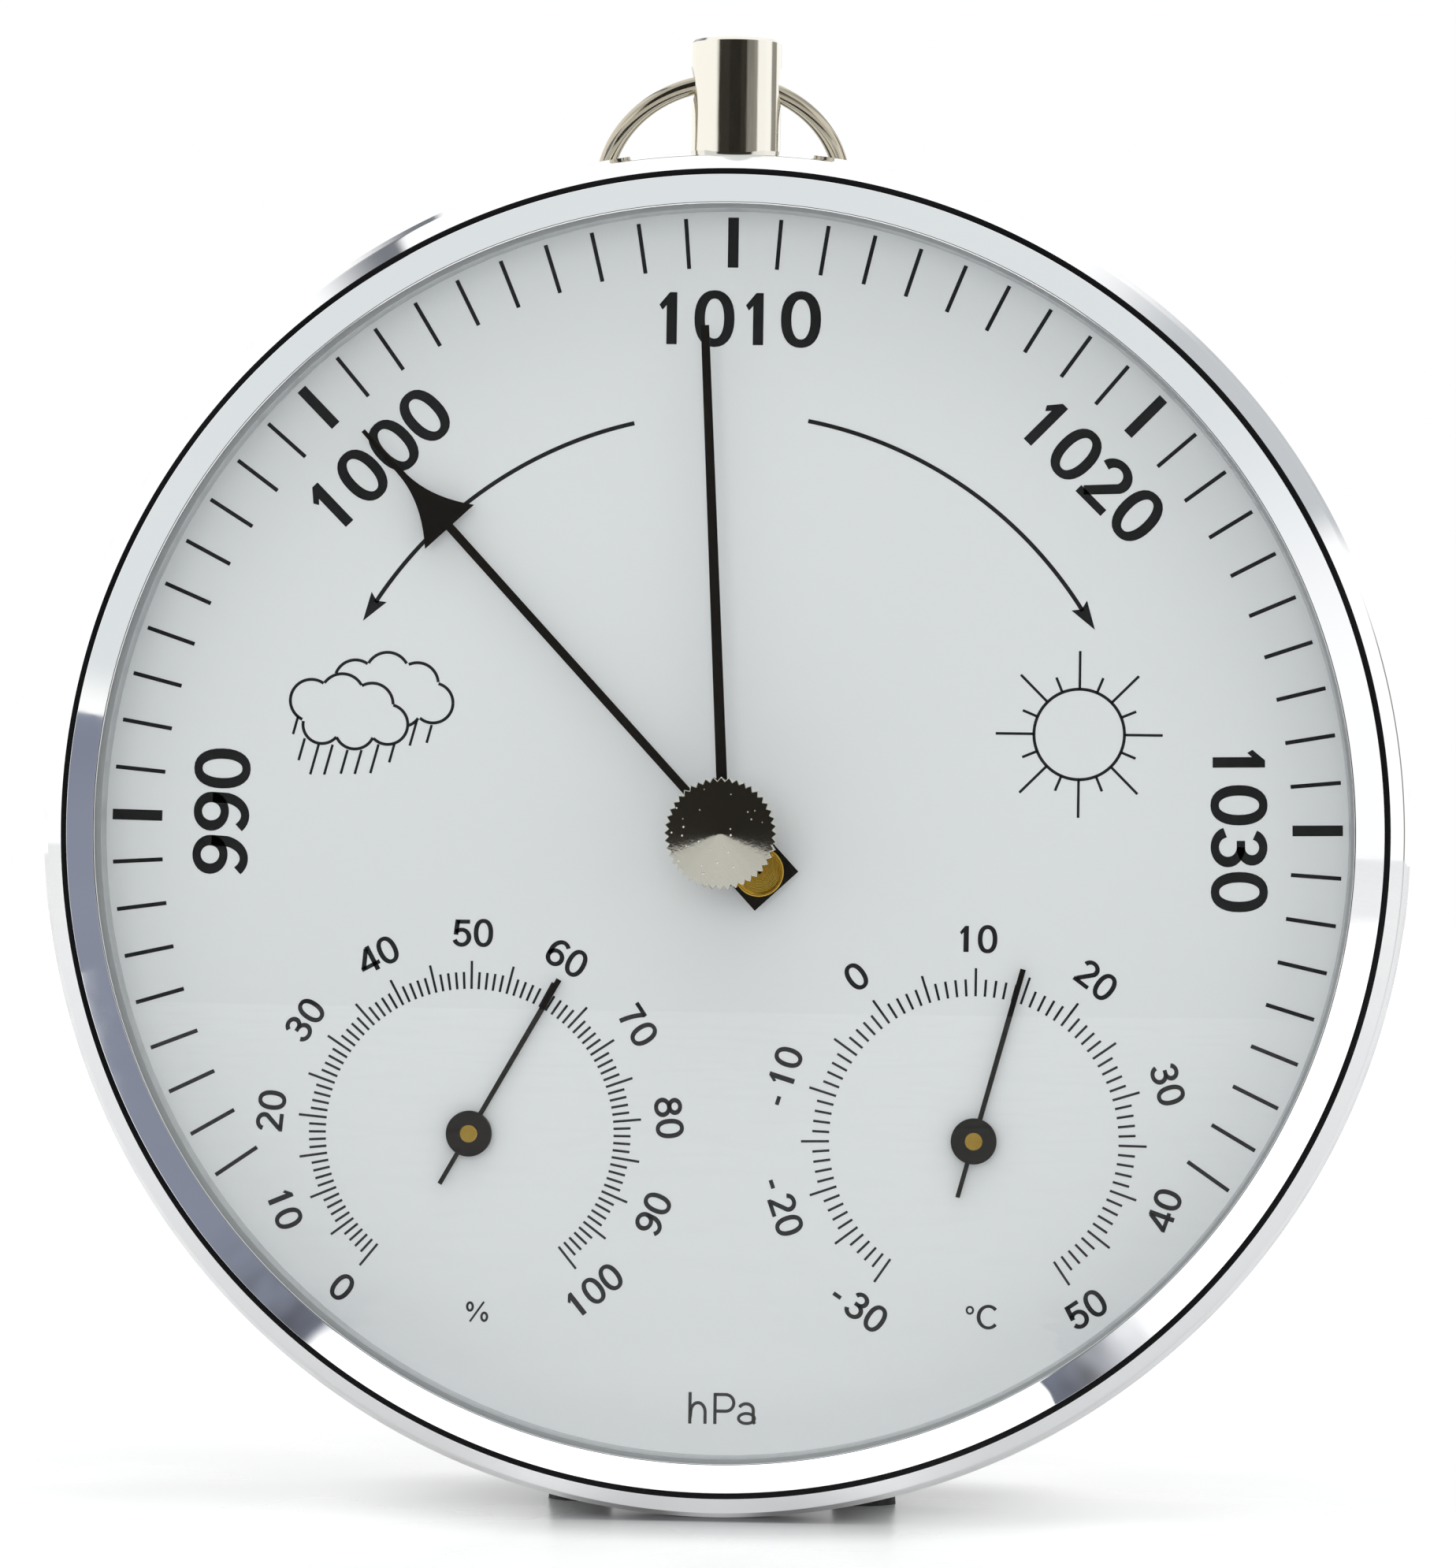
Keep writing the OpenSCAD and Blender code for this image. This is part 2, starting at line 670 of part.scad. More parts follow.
module glass() {
    steps = 2 * arc_steps;
    hole_r = spindle_r + run_gap;
    radii = [for (i = [0 : steps]) hole_r + (glass_r - hole_r) * i / steps];
    front = [for (r = radii) [r, glass_apex + dome(r, glass_rise)]];
    back = [for (i = [steps : -1 : 0]) [radii[i], under_glass + dome(radii[i], glass_rise)]];
    color("lightcyan", 0.35) turned(0, 0, concat(front, back));
}

module glass_gasket() {
    color("dimgray") turned(0, 0, [[window_r, bezel_lip_t], [glass_r, bezel_lip_t], [glass_r, glass_front],
        [window_r, glass_apex + dome(window_r, glass_rise)]]);
}

module light_ring() {
    color("whitesmoke") turned(0, 0, [[light_r, under_glass + dome(light_r, glass_rise)],
        [glass_r, glass_back], [glass_r, dial_front], [light_r, dial_front]]);
}

module dial_plate() {
    color("whitesmoke") slab(0, 0, dial_front, dial_t) difference() {
        circle(r = glass_r);
        circle(r = bush_r + dial_hole_gap);
        for (side = [-1, 1]) translate([side * sub_x, -sub_drop])
            circle(r = fine_r + dial_hole_gap, $fn = small_fn);
    }
}

// Stem and ring
stem_r = stem_d / 2;
hole_r = hole_d / 2;
hole_z = case_r + stem_h - hole_drop;
bend_reach = stem_r - mouth_w + ring_slide;
ring_sag = ring_r - sqrt(ring_r * ring_r - bend_reach * bend_reach);
ring_offset = ring_r - ring_sag / 2;

// A ring that is too long to hang down behind the case lies on the rear housing instead
housing_drop = hole_z - wire_d / 2 - free_gap - can_r;
housing_lean = acos(min(1, housing_drop / (ring_offset + ring_r)));
rest_lean = max(ring_lean, housing_lean);

module at_hole() {
    translate([0, y_at(stem_depth), axis_h + hole_z]) rotate([0, 0, stem_turn]) children();
}

module stem() {
    chamfer_z = case_r + stem_h - stem_chamfer;
    color("gainsboro") difference() {
        union() {
            upright(0, drum_r, stem_depth, chamfer_z - drum_r, stem_r);
            translate([0, y_at(stem_depth), axis_h + chamfer_z])
                cylinder(h = stem_chamfer, r1 = stem_r, r2 = stem_r - stem_chamfer);
        }
        difference() {
            turned(0, 0, concat([[0, lip_back]], case_outer, [[0, case_back]]));
            upright(0, case_r - spigot_h, stem_depth, spigot_h + over, spigot_r);
        }
        at_hole() rotate([0, 90, 0]) {
            cylinder(h = stem_d + 2 * over, r = hole_r, center = true);
            for (side = [0, 180]) rotate([0, side, 0]) translate([0, 0, stem_r - mouth_w])
                cylinder(h = mouth_w + over, r1 = hole_r, r2 = hole_r + mouth_w + over);
        }
    }
}

module hanging_ring() {
    color("silver") at_hole() rotate([rest_lean, 0, 0]) translate([-ring_slide, 0, -ring_offset])
        rotate([90, 0, 0]) rotate_extrude() translate([ring_r, 0]) circle(d = wire_d, $fn = small_fn);
}

// Rear housing with the pegs for its feet
module rear_housing() {
    flange_end = case_back + can_flange_t;
    outer = concat([[can_r + can_flange, case_back], [can_r + can_flange, flange_end], [can_r, flange_end]],
        arc(can_r - can_round, can_back - can_round, can_round, 0, 90), [[0, can_back]]);
    inner = [[0, can_back - can_wall], [can_inner_r, can_back - can_wall], [can_inner_r, case_back]];
    peg_root = axis_h - sqrt(can_inner_r * can_inner_r - pow(foot_x - peg_r, 2));
    wall_cut = can_back - can_wall - over;
    color("#26282b") difference() {
        union() {
            turned(0, 0, concat(outer, inner));
            for (side = [-1, 1])
                upright(side * foot_x, sole_t - axis_h, foot_depth, peg_root - sole_t, peg_r);
        }
        slab(0, 0, wall_cut, can_wall + 2 * over)
            for (i = [0 : vent_count - 1]) rotate([0, 0, (i + 0.5) * 360 / vent_count])
                translate([vent_at, 0]) slot_2d(vent_l, vent_w);
        rod(0, -adjuster_drop, wall_cut, can_wall + 2 * over, access_r);
        at_screws() rod(0, 0, case_back - over, can_flange_t + 2 * over, screw_r + run_gap);
    }
}

module cross_head(depth) {
    difference() {
        rod(0, 0, depth, screw_head_h, screw_head_r);
        for (turn = [0, 90]) slab(0, 0, depth + screw_head_h / 2, screw_head_h, turn)
            square([screw_slot_l, screw_slot_w], center = true);
    }
}

module housing_screws() {
    color("silver") at_screws() {
        rod(0, 0, case_back - flange_t, flange_t + can_flange_t, screw_r);
        cross_head(case_back + can_flange_t);
    }
}

module rubber_feet() {
    color("#1c1c1e") for (side = [-1, 1]) difference() {
        translate([side * foot_x, y_at(foot_depth), 0])
            cylinder(h = foot_h, r1 = foot_r, r2 = foot_r - foot_taper);
        upright(side * foot_x, sole_t - axis_h, foot_depth, foot_h, peg_r);
    }
}

// Set hand, with its knob outside the glass and its washer inside
module set_knob() {
    step = 360 / knob_teeth;
    valley_r = knob_r - knob_tooth;
    star = [for (i = [0 : knob_teeth - 1]) each [
        [knob_r * cos(i * step), knob_r * sin(i * step)],
        [valley_r * cos((i + 0.5) * step), valley_r * sin((i + 0.5) * step)]]];
    slope = knob_cone / (knob_r - knob_tip_r);
    rim_r = knob_r + over;
    color("silver") {
        intersection() {
            slab(0, 0, knob_front - over, knob_h - collar_h + over, set_angle) polygon(star);
            turned(0, 0, [[0, knob_front], [knob_tip_r, knob_front],
                [rim_r, knob_front + slope * (rim_r - knob_tip_r)], [rim_r, knob_back + over],
                [0, knob_back + over]]);
        }
        rod(0, 0, knob_back - collar_h - skin, collar_h + skin, valley_r - knob_tooth);
    }
}

module set_spindle() {
    color("silver") rod(0, 0, knob_back, set_back + spindle_end - knob_back, spindle_r);
}

module friction_washer() {
    bore_r = spindle_r + seat_gap;
    color("goldenrod") turned(0, 0, [[bore_r, set_front - skin - washer_t], [washer_r, under_glass + skin],
        [washer_r, under_glass + skin + washer_t], [bore_r, set_front - skin]]);
}

module set_hand() {
    color("#1a1512") slab(0, 0, set_front, set_t, set_angle) difference() {
        union() {
            circle(r = set_hub_r);
            taper_2d(0, set_reach, set_root_w, set_tip_w);
        }
        circle(r = spindle_r);
    }
}

// Barometer pointer: needle, arrowhead with hollow sides, shaft and counterweight plate
module pointer() {
    half = needle_w / 2;
    run = neck_at - barb_at;
    side = [for (i = [0 : arc_steps]) let (t = i / arc_steps)
        [barb_half + (half - barb_half) * (1 - pow(1 - t, 2)), barb_at + run * t]];
    head = concat(side, [for (i = [arc_steps : -1 : 0]) [-side[i][0], side[i][1]]]);
    color("#141414") slab(0, 0, pointer_front, pointer_t, pointer_angle) difference() {
        union() {
            polygon(head);
            taper_2d(neck_at - skin, pointer_reach, needle_w, 0.7 * needle_w);
            taper_2d(0, barb_at + skin, shaft_w, shaft_w);
            taper_2d(-weight_reach, weight_front, weight_w, weight_w);
        }
        circle(r = bush_r - bush_step, $fn = small_fn);
    }
}

module pointer_bush() {
    step_r = bush_r - bush_step;
    front = pointer_front - bush_lift;
    color("goldenrod") turned(0, 0, [[arbor_r, front], [bush_r, front], [bush_r, pointer_front],
        [step_r, pointer_front], [step_r, pointer_back], [bush_r, pointer_back],
        [bush_r, pointer_back + bush_drop], [arbor_r, pointer_back + bush_drop]]);
}

module pointer_weight() {
    front = pointer_front - disc_t;
    floor_at = front + disc_dish;
    rim_r = disc_r - disc_rim;
    hub_top = front + disc_dish / 2;
    color("goldenrod") turned(-disc_at * sin(pointer_angle), -disc_at * cos(pointer_angle),
        [[disc_hole_r, hub_top], [disc_hub_r - disc_dish, hub_top], [disc_hub_r, floor_at],
        [rim_r - disc_dish, floor_at], [rim_r, front], [disc_r, front], [disc_r, pointer_front],
        [disc_hole_r, pointer_front]]);
}

module pointer_arbor() {
    color("silver") {
        rod(0, 0, arbor_front, bridges_end + arbor_end - arbor_front, arbor_r);
        turned(0, 0, [[arbor_r - skin, hair_at], [collet_r, hair_at], [collet_r, hair_at + hair_w],
            [arbor_r - skin, hair_at + hair_w]]);
    }
}

// Involute teeth: half the angle of a tooth at a radius, one side of a tooth, and a whole tooth
function inv(r, base) = let (q = max(r / base, 1)) sqrt(q * q - 1) * 180 / PI - acos(1 / q);
function tooth_half(r, count) = let (pitch = gear_module * count / 2, base = pitch * cos(pressure_angle))
    90 / count - backlash * 45 / (PI * pitch) + inv(pitch, base) - inv(r, base);
function flank(count) = let (pitch = gear_module * count / 2, base = pitch * cos(pressure_angle),
    root = pitch - tooth_root, tip = pitch + tooth_tip, low = max(root, base), steps = 4)
    concat(root < base ? [[root, tooth_half(base, count)]] : [],
        [for (i = [0 : steps]) let (r = low + (tip - low) * i / steps) [r, tooth_half(r, count)]]);
function tooth(count, at) = let (side = flank(count), n = len(side))
    concat([for (i = [0 : n - 1]) let (a = at - side[i][1]) [side[i][0] * cos(a), side[i][0] * sin(a)]],
        [for (i = [n - 1 : -1 : 0]) let (a = at + side[i][1]) [side[i][0] * cos(a), side[i][0] * sin(a)]]);

module pinion() {
    step = 360 / pinion_teeth;
    color("goldenrod") slab(0, 0, pinion_at, pinion_h, pointer_angle) difference() {
        polygon([for (i = [0 : pinion_teeth - 1]) each tooth(pinion_teeth, 90 + (i + 0.5) * step)]);
        circle(r = arbor_r, $fn = small_fn);
    }
}

module sector_gear() {
    step = 360 / sector_full;
    rim_r = sector_pitch_r - sector_rim;
    half = (sector_side + 0.5) * step;
    teeth = [for (i = [-sector_side : sector_side]) each tooth(sector_full, -90 + i * step)];
    color("darkgoldenrod") {
        slab(0, sector_pivot_z, sector_at, sector_t, sector_angle) difference() {
            union() {
                polygon(concat(teeth, arc(0, 0, rim_r, half - 90, -half - 90)));
                for (side = [-1, 1]) rotate([0, 0, side * spoke_turn])
                    taper_2d(-rim_r - spoke_w / 2, 0, spoke_w, spoke_w);
                circle(r = sector_hub_r);
                taper_2d(0, tail_at, 2 * sector_hub_r, 2 * tail_half);
                translate([0, tail_at]) circle(r = tail_half, $fn = small_fn);
            }
            circle(r = arbor_r, $fn = small_fn);
        }
        rod(tail_at * sin(sector_angle), sector_pivot_z + tail_at * cos(sector_angle), sector_at,
            tail_pin_end - sector_at, tail_pin_r);
    }
}

module sector_arbor() {
    color("silver") rod(0, sector_pivot_z, front_bridge_at - arbor_end,
        bridges_end - front_bridge_at + 2 * arbor_end, arbor_r);
}

// Bridges that carry the pinion's and the sector's arbors
post_places = [[0, -post_drop], [-post_x, post_z], [post_x, post_z]];

module bridge(depth) {
    bore_r = arbor_r + run_gap;
    color("peru") slab(0, 0, depth, bridge_t) difference() {
        union() {
            taper_2d(-post_drop, sector_pivot_z + lug_r, bridge_w, bridge_w);
            translate([0, -post_drop]) circle(d = bridge_w);
            translate([0, post_z]) slot_2d(2 * (post_x + lug_r), 2 * lug_r);
        }
        circle(r = bore_r, $fn = small_fn);
        translate([0, sector_pivot_z]) circle(r = bore_r, $fn = small_fn);
        translate([0, sector_pivot_z / 2]) square([window_w, window_h], center = true);
        for (p = post_places) translate(p) circle(r = post_pin_r + seat_gap, $fn = small_fn);
    }
}

module front_bridge() {
    bridge(front_bridge_at);
}

module rear_bridge() {
    bridge(rear_bridge_at);
}

module bridge_posts() {
    color("goldenrod") for (p = post_places) {
        rod(p[0], p[1], dial_back, bridge_back, post_r);
        rod(p[0], p[1], wheels_at, rear_bridge_at - wheels_at, post_r);
        rod(p[0], p[1], bridges_end, post_nut_h, post_r);
        rod(p[0], p[1], dial_back, bridges_end - dial_back, post_pin_r);
    }
}

// A flat strip wound into a spiral of whole turns
turn_steps = 24;
function spiral(inner, outer, turns, shift) = [for (i = [0 : turns * turn_steps])
    let (r = inner + (outer - inner) * i / (turns * turn_steps) + shift, a = i * 360 / turn_steps)
    [r * cos(a), r * sin(a)]];

module strip_2d(inner, outer, turns, t) {
    back = spiral(inner, outer, turns, -t / 2);
    polygon(concat(spiral(inner, outer, turns, t / 2), [for (i = [len(back) - 1 : -1 : 0]) back[i]]));
}

hair_inner = collet_r + free_gap + hair_t;
echo(hairspring_gap_mm = (hair_r - hair_inner) / hair_turns - hair_t);

module hairspring() {
    color("steelblue") {
        slab(0, 0, hair_at, hair_w) strip_2d(hair_inner, hair_r, hair_turns, hair_t);
        rod(hair_r + stud_r, 0, hair_at, rear_bridge_at - hair_at, stud_r);
    }
}

// Movement plate, its pillars and screws
pillar_places = [for (a = [-pillar_turn, pillar_turn, 180]) [pillar_at * sin(a), pillar_at * cos(a)]];

module movement_plate() {
    color("darkgoldenrod") slab(0, 0, plate_at, plate_t) difference() {
        circle(r = plate_r);
        for (p = pillar_places) translate(p) circle(r = screw_r + seat_gap, $fn = small_fn);
        translate([0, -adjuster_drop]) circle(r = adjuster_r + run_gap, $fn = small_fn);
        for (side = [-1, 1]) translate([side * plate_hole_x, -plate_hole_drop]) circle(r = plate_hole_r);
    }
}

module movement_pillars() {
    color("goldenrod") for (p = pillar_places) difference() {
        rod(p[0], p[1], dial_back, plate_gap, pillar_r);
        rod(p[0], p[1], plate_at - pillar_screw_l - free_gap, pillar_screw_l + free_gap + over, screw_r);
    }
}

module pillar_screws() {
    color("silver") for (p = pillar_places) translate([p[0], 0, p[1]]) {
        rod(0, 0, plate_at - pillar_screw_l, plate_t + pillar_screw_l, screw_r);
        cross_head(plate_at + plate_t);
    }
}

// Aneroid capsule: two corrugated shells, the front one moving with the air pressure
wave_steps = 8 * capsule_waves;
function waves(depth, dir) = [for (i = [0 : wave_steps]) let (f = i / wave_steps)
    [capsule_mid_r + (capsule_r - edge_w - capsule_mid_r) * f,
    depth + dir * wave_h / 2 * (1 - cos(360 * capsule_waves * f))]];

module shell(mid, rim, dir) {
    face = waves(mid, dir);
    last = face[len(face) - 1];
    step = dir * capsule_t;
    inner_r = capsule_r - rim_t;
    turned(0, 0, concat([[0, mid]], face, [[capsule_r, last[1] + step], [capsule_r, rim], [inner_r, rim],
        [inner_r, last[1] + 2 * step]], [for (i = [len(face) - 1 : -1 : 0]) [face[i][0], face[i][1] + step]],
        [[0, mid + step]]));
}

module capsule_base() {
    color("lightgray") {
        shell(capsule_back, capsule_mid + capsule_gap / 2, -1);
        rod(0, 0, capsule_back - skin, carrier_at - capsule_back + skin, capsule_mid_r);
    }
}

module capsule_top() {
    shoulder = lever_at + lever_t + free_gap / 2;
    tip = lever_at - free_gap;
    color("lightgray") translate([0, capsule_shift, 0]) {
        shell(capsule_front, capsule_mid - capsule_gap / 2, 1);
        rod(0, 0, shoulder, capsule_front + skin - shoulder, top_stud_r);
        rod(0, 0, tip, shoulder + skin - tip, top_tip_r);
    }
}

module capsule_carrier() {
    foot = adjuster_drop + adjuster_head_r;
    color("slategray") slab(0, 0, carrier_at, carrier_t) taper_2d(-foot, carrier_reach, carrier_w, carrier_w);
}

// Main lever on its bracket
ear_x = lever_half + free_gap;

module lever_bracket() {
    color("peru") difference() {
        for (side = [-1, 1]) translate([side < 0 ? -ear_x - ear_t : ear_x, 0, axis_h - lever_drop]) {
            translate([0, y_at(lever_mid), -ear_r]) cube([ear_t, plate_at - lever_mid, 2 * ear_r]);
            translate([0, y_at(lever_mid), 0]) rotate([0, 90, 0]) cylinder(h = ear_t, r = ear_r);
            translate([side < 0 ? -bracket_foot : 0, y_at(plate_at - bracket_t), -ear_r])
                cube([ear_t + bracket_foot, bracket_t, 2 * ear_r]);
        }
        crossbar(-lever_drop, lever_mid, ear_x + ear_t + over, lever_pin_r + run_gap);
    }
}

module at_lever() {
    translate([0, y_at(lever_mid), axis_h - lever_drop]) rotate([lever_angle, 0, 0]) children();
}

module lever_pin() {
    half = ear_x + ear_t + free_gap;
    color("silver") at_lever() rotate([0, 90, 0]) cylinder(h = 2 * half, r = lever_pin_r, center = true);
}

module main_lever() {
    eye_x = rocker_x - crank_l;
    eye_deep = rocker_depth - lever_mid;
    eye_r = crank_pin_r + eye_gap;
    eye_half = eye_r + eye_wall;
    arm_end = eye_x + eye_half;
    color("rosybrown") at_lever() difference() {
        union() {
            translate([0, lever_t / 2, 0]) rotate([90, 0, 0]) linear_extrude(lever_t) difference() {
                polygon([[-lever_half, 0], [lever_half, 0], [lever_neck, lever_span - 2 * lever_arm],
                    [arm_end, lever_span - lever_arm], [arm_end, lever_span + lever_arm],
                    [-lever_arm, lever_span + lever_arm], [-lever_neck, lever_span - 2 * lever_arm]]);
                translate([0, lever_drop]) circle(r = top_tip_r + free_gap, $fn = small_fn);
                translate([0, lever_drop / 2]) circle(r = lever_neck - lever_t / 2, $fn = small_fn);
            }
            rotate([0, 90, 0]) cylinder(h = 2 * lever_half, r = barrel_r, center = true);
            translate([eye_x - eye_half, 0, lever_span - ear_t / 2]) cube([2 * eye_half, eye_deep, ear_t]);
            translate([eye_x, eye_deep, lever_span - ear_t / 2])
                cylinder(h = ear_t, r = eye_half, $fn = small_fn);
        }
        rotate([0, 90, 0]) cylinder(h = 2 * lever_half + over, r = lever_pin_r, center = true);
        translate([eye_x, eye_deep, lever_span - over]) cylinder(h = 2 * over, r = eye_r, $fn = small_fn);
    }
}

// Rocking shaft between the main lever and the sector
module rocker_bracket() {
    color("peru") difference() {
        union() {
            for (z = [lug_low, lug_high]) {
                translate([rocker_x - lug_half, y_at(rocker_depth), axis_h + z - ear_t / 2])
                    cube([2 * lug_half, plate_at - rocker_depth, ear_t]);
                upright(rocker_x, z - ear_t / 2, rocker_depth, ear_t, lug_half);
            }
            translate([rocker_x - lug_half, y_at(plate_at - bracket_t), axis_h + lug_low])
                cube([2 * lug_half, bracket_t, lug_high - lug_low]);
        }
        upright(rocker_x, lug_low - over, rocker_depth, lug_high - lug_low + 2 * over, rocker_r + run_gap);
    }
}

module rocking_shaft() {
    low = lug_low - ear_t / 2 - free_gap;
    arm_z = tail_z - link_w / 2 - free_gap / 2 - arm_t;
    crank_z = lever_rise - ear_t / 2 - free_gap - arm_t;
    color("silver") translate([rocker_x, y_at(rocker_depth), axis_h]) rotate([0, 0, rocker_angle]) {
        translate([0, 0, low]) cylinder(h = arm_z + arm_t - low, r = rocker_r);
        translate([-arm_w / 2, -rocker_arm, arm_z]) cube([arm_w, rocker_arm, arm_t]);
        translate([0, -rocker_arm, arm_z])
            cylinder(h = arm_t + link_w + 1.5 * free_gap, r = tail_pin_r, $fn = small_fn);
        translate([-crank_l, -arm_w / 2, crank_z]) cube([crank_l, arm_w, arm_t]);
        translate([-crank_l, 0, crank_z])
            cylinder(h = arm_t + ear_t + 2 * free_gap, r = crank_pin_r, $fn = small_fn);
    }
}

module pull_link() {
    eye_r = tail_pin_r + eye_gap;
    end_r = eye_r + eye_wall;
    depth = link_at + link_t / 2;
    color("silver") translate([link_shift, 0, 0]) difference() {
        union() {
            slab(0, tail_z, link_at, link_t) {
                translate([0, -link_w / 2]) square([rocker_x, link_w]);
                circle(r = end_r, $fn = small_fn);
            }
            upright(rocker_x, tail_z - link_w / 2, depth, link_w, end_r);
        }
        rod(0, tail_z, link_at - over, link_t + 2 * over, eye_r);
        upright(rocker_x, tail_z - over, depth, 2 * over, eye_r);
    }
}

module adjusting_screw() {
    head_at = plate_at + plate_t + free_gap;
    color("goldenrod") difference() {
        union() {
            rod(0, -adjuster_drop, plate_at + free_gap, plate_t, adjuster_r);
            rod(0, -adjuster_drop, head_at - skin, adjuster_head_h + skin, adjuster_head_r);
        }
        slab(0, -adjuster_drop, head_at + adjuster_head_h / 2, adjuster_head_h)
            square([3 * adjuster_head_r, screw_slot_w], center = true);
    }
}

// The two small instruments share one build
cup_end = case_back - free_gap;
cup_floor = cup_end - cup_wall;
strip_at = (dial_back + cup_floor - strip_w) / 2;

module instrument_cup(x) {
    bore_r = fine_r + run_gap;
    color("silver") difference() {
        turned(x, -sub_drop, [[cup_r - cup_wall, dial_back], [cup_r, dial_back], [cup_r, cup_end],
            [bore_r, cup_end], [bore_r, cup_floor], [cup_r - cup_wall, cup_floor]]);
        for (i = [0 : cup_holes - 1]) {
            a = i * 360 / cup_holes;
            rod(x + cup_hole_at * sin(a), -sub_drop + cup_hole_at * cos(a), cup_floor - over,
                cup_wall + 2 * over, cup_hole_r);
        }
    }
}

module instrument_strip(x, turns, t) {
    inner = strip_hub_r + free_gap + t / 2;
    slab(x, -sub_drop, strip_at, strip_w) strip_2d(inner, cup_r - cup_wall - t / 2, turns, t);
}

module instrument_arbor(x) {
    color("silver") {
        rod(x, -sub_drop, rivet_front, cup_end + arbor_end - rivet_front, fine_r);
        rod(x, -sub_drop, strip_at, strip_w, strip_hub_r);
    }
}

module instrument_hand(x, turn) {
    boss_front = hand_front - boss_lift;
    boss_back = hand_back + hand_clear / 2;
    color("#141414") difference() {
        union() {
            slab(x, -sub_drop, hand_front, hand_t, turn)
                taper_2d(-hand_tail, hand_reach, hand_tail_w, hand_tip_w);
            rod(x, -sub_drop, boss_front, boss_back - boss_front, boss_r);
        }
        rod(x, -sub_drop, boss_front - over, boss_back - boss_front + 2 * over, fine_r);
    }
}

module instrument_rivet(x) {
    back = rivet_front + rivet_lift;
    edge = rivet_lift / 2;
    color("goldenrod") turned(x, -sub_drop, [[fine_r, rivet_front], [rivet_r - edge, rivet_front],
        [rivet_r, rivet_front + edge], [rivet_r, back], [fine_r, back]]);
}

module hygrometer_cup() {
    instrument_cup(-sub_x);
}

module hygrometer_strip() {
    color("wheat") instrument_strip(-sub_x, strip_turns, strip_t);
}

module hygrometer_arbor() {
    instrument_arbor(-sub_x);
}

module hygrometer_hand() {
    instrument_hand(-sub_x, hygro_angle);
}

module hygrometer_rivet() {
    instrument_rivet(-sub_x);
}

module thermometer_cup() {
    instrument_cup(sub_x);
}

module thermometer_strip() {
    color("burlywood") instrument_strip(sub_x, bimetal_turns, bimetal_t);
}

module thermometer_arbor() {
    instrument_arbor(sub_x);
}

module thermometer_hand() {
    instrument_hand(sub_x, thermo_angle);
}

module thermometer_rivet() {
    instrument_rivet(sub_x);
}

case_ring();
bezel();
glass();
glass_gasket();
light_ring();
dial_plate();
stem();
hanging_ring();
rear_housing();
housing_screws();
rubber_feet();
set_knob();
set_spindle();
friction_washer();
set_hand();
pointer();
pointer_bush();
pointer_weight();
pointer_arbor();
pinion();
sector_gear();
sector_arbor();
front_bridge();
rear_bridge();
bridge_posts();
hairspring();
movement_plate();
movement_pillars();
pillar_screws();
capsule_carrier();
capsule_base();
capsule_top();
lever_bracket();
lever_pin();
main_lever();
rocker_bracket();
rocking_shaft();
pull_link();
adjusting_screw();
hygrometer_cup();
hygrometer_strip();
hygrometer_arbor();
hygrometer_hand();
hygrometer_rivet();
thermometer_cup();
thermometer_strip();
thermometer_arbor();
thermometer_hand();
thermometer_rivet();
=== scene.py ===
"""Looks, light and camera for the chrome desk weather station.

Blender units are metres. Small sizes are written in millimetres and scaled by MM.
Dial coordinates are millimetres from the dial's middle: x to the right, z up.
Clock angles are degrees clockwise from twelve.
"""
import json
import math

import bmesh
import bpy
from mathutils import Matrix, Vector


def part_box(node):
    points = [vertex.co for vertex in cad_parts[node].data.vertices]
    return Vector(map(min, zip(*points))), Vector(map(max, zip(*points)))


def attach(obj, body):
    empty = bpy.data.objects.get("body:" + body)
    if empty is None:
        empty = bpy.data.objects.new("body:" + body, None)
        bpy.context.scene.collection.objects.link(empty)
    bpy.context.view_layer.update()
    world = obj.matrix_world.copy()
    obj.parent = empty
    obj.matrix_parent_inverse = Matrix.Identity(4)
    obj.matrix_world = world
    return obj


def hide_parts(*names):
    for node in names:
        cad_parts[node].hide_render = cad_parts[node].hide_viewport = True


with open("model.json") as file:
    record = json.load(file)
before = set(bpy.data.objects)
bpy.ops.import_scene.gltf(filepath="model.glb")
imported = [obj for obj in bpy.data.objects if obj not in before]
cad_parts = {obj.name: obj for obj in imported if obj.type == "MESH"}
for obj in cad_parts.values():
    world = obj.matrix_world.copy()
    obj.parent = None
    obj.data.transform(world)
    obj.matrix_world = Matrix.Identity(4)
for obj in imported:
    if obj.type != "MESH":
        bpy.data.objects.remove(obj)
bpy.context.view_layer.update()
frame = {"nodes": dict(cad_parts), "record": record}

MM = 0.001


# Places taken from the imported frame
class NodeBox:
    """A CAD node at rest: its corners, the middle between them and half its width."""

    def __init__(self, name):
        self.low, self.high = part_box(name)
        self.mid = (self.low + self.high) / 2
        self.r = (self.high.x - self.low.x) / 2


CASE = NodeBox("case_ring")
BEZEL = NodeBox("bezel")
GASKET = NodeBox("glass_gasket")
GLASS = NodeBox("glass")
KNOB = NodeBox("set_knob")
WEIGHT = NodeBox("pointer_weight")
STEM = NodeBox("stem")
HUMIDITY_CUP = NodeBox("hygrometer_cup")
TEMPERATURE_CUP = NodeBox("thermometer_cup")
AXIS_Z = CASE.mid.z
DIAL_FRONT = NodeBox("dial_plate").low.y


# Meshes and pieces
def new_object(name, data):
    made = bpy.data.objects.new(name, data)
    bpy.context.scene.collection.objects.link(made)
    return made


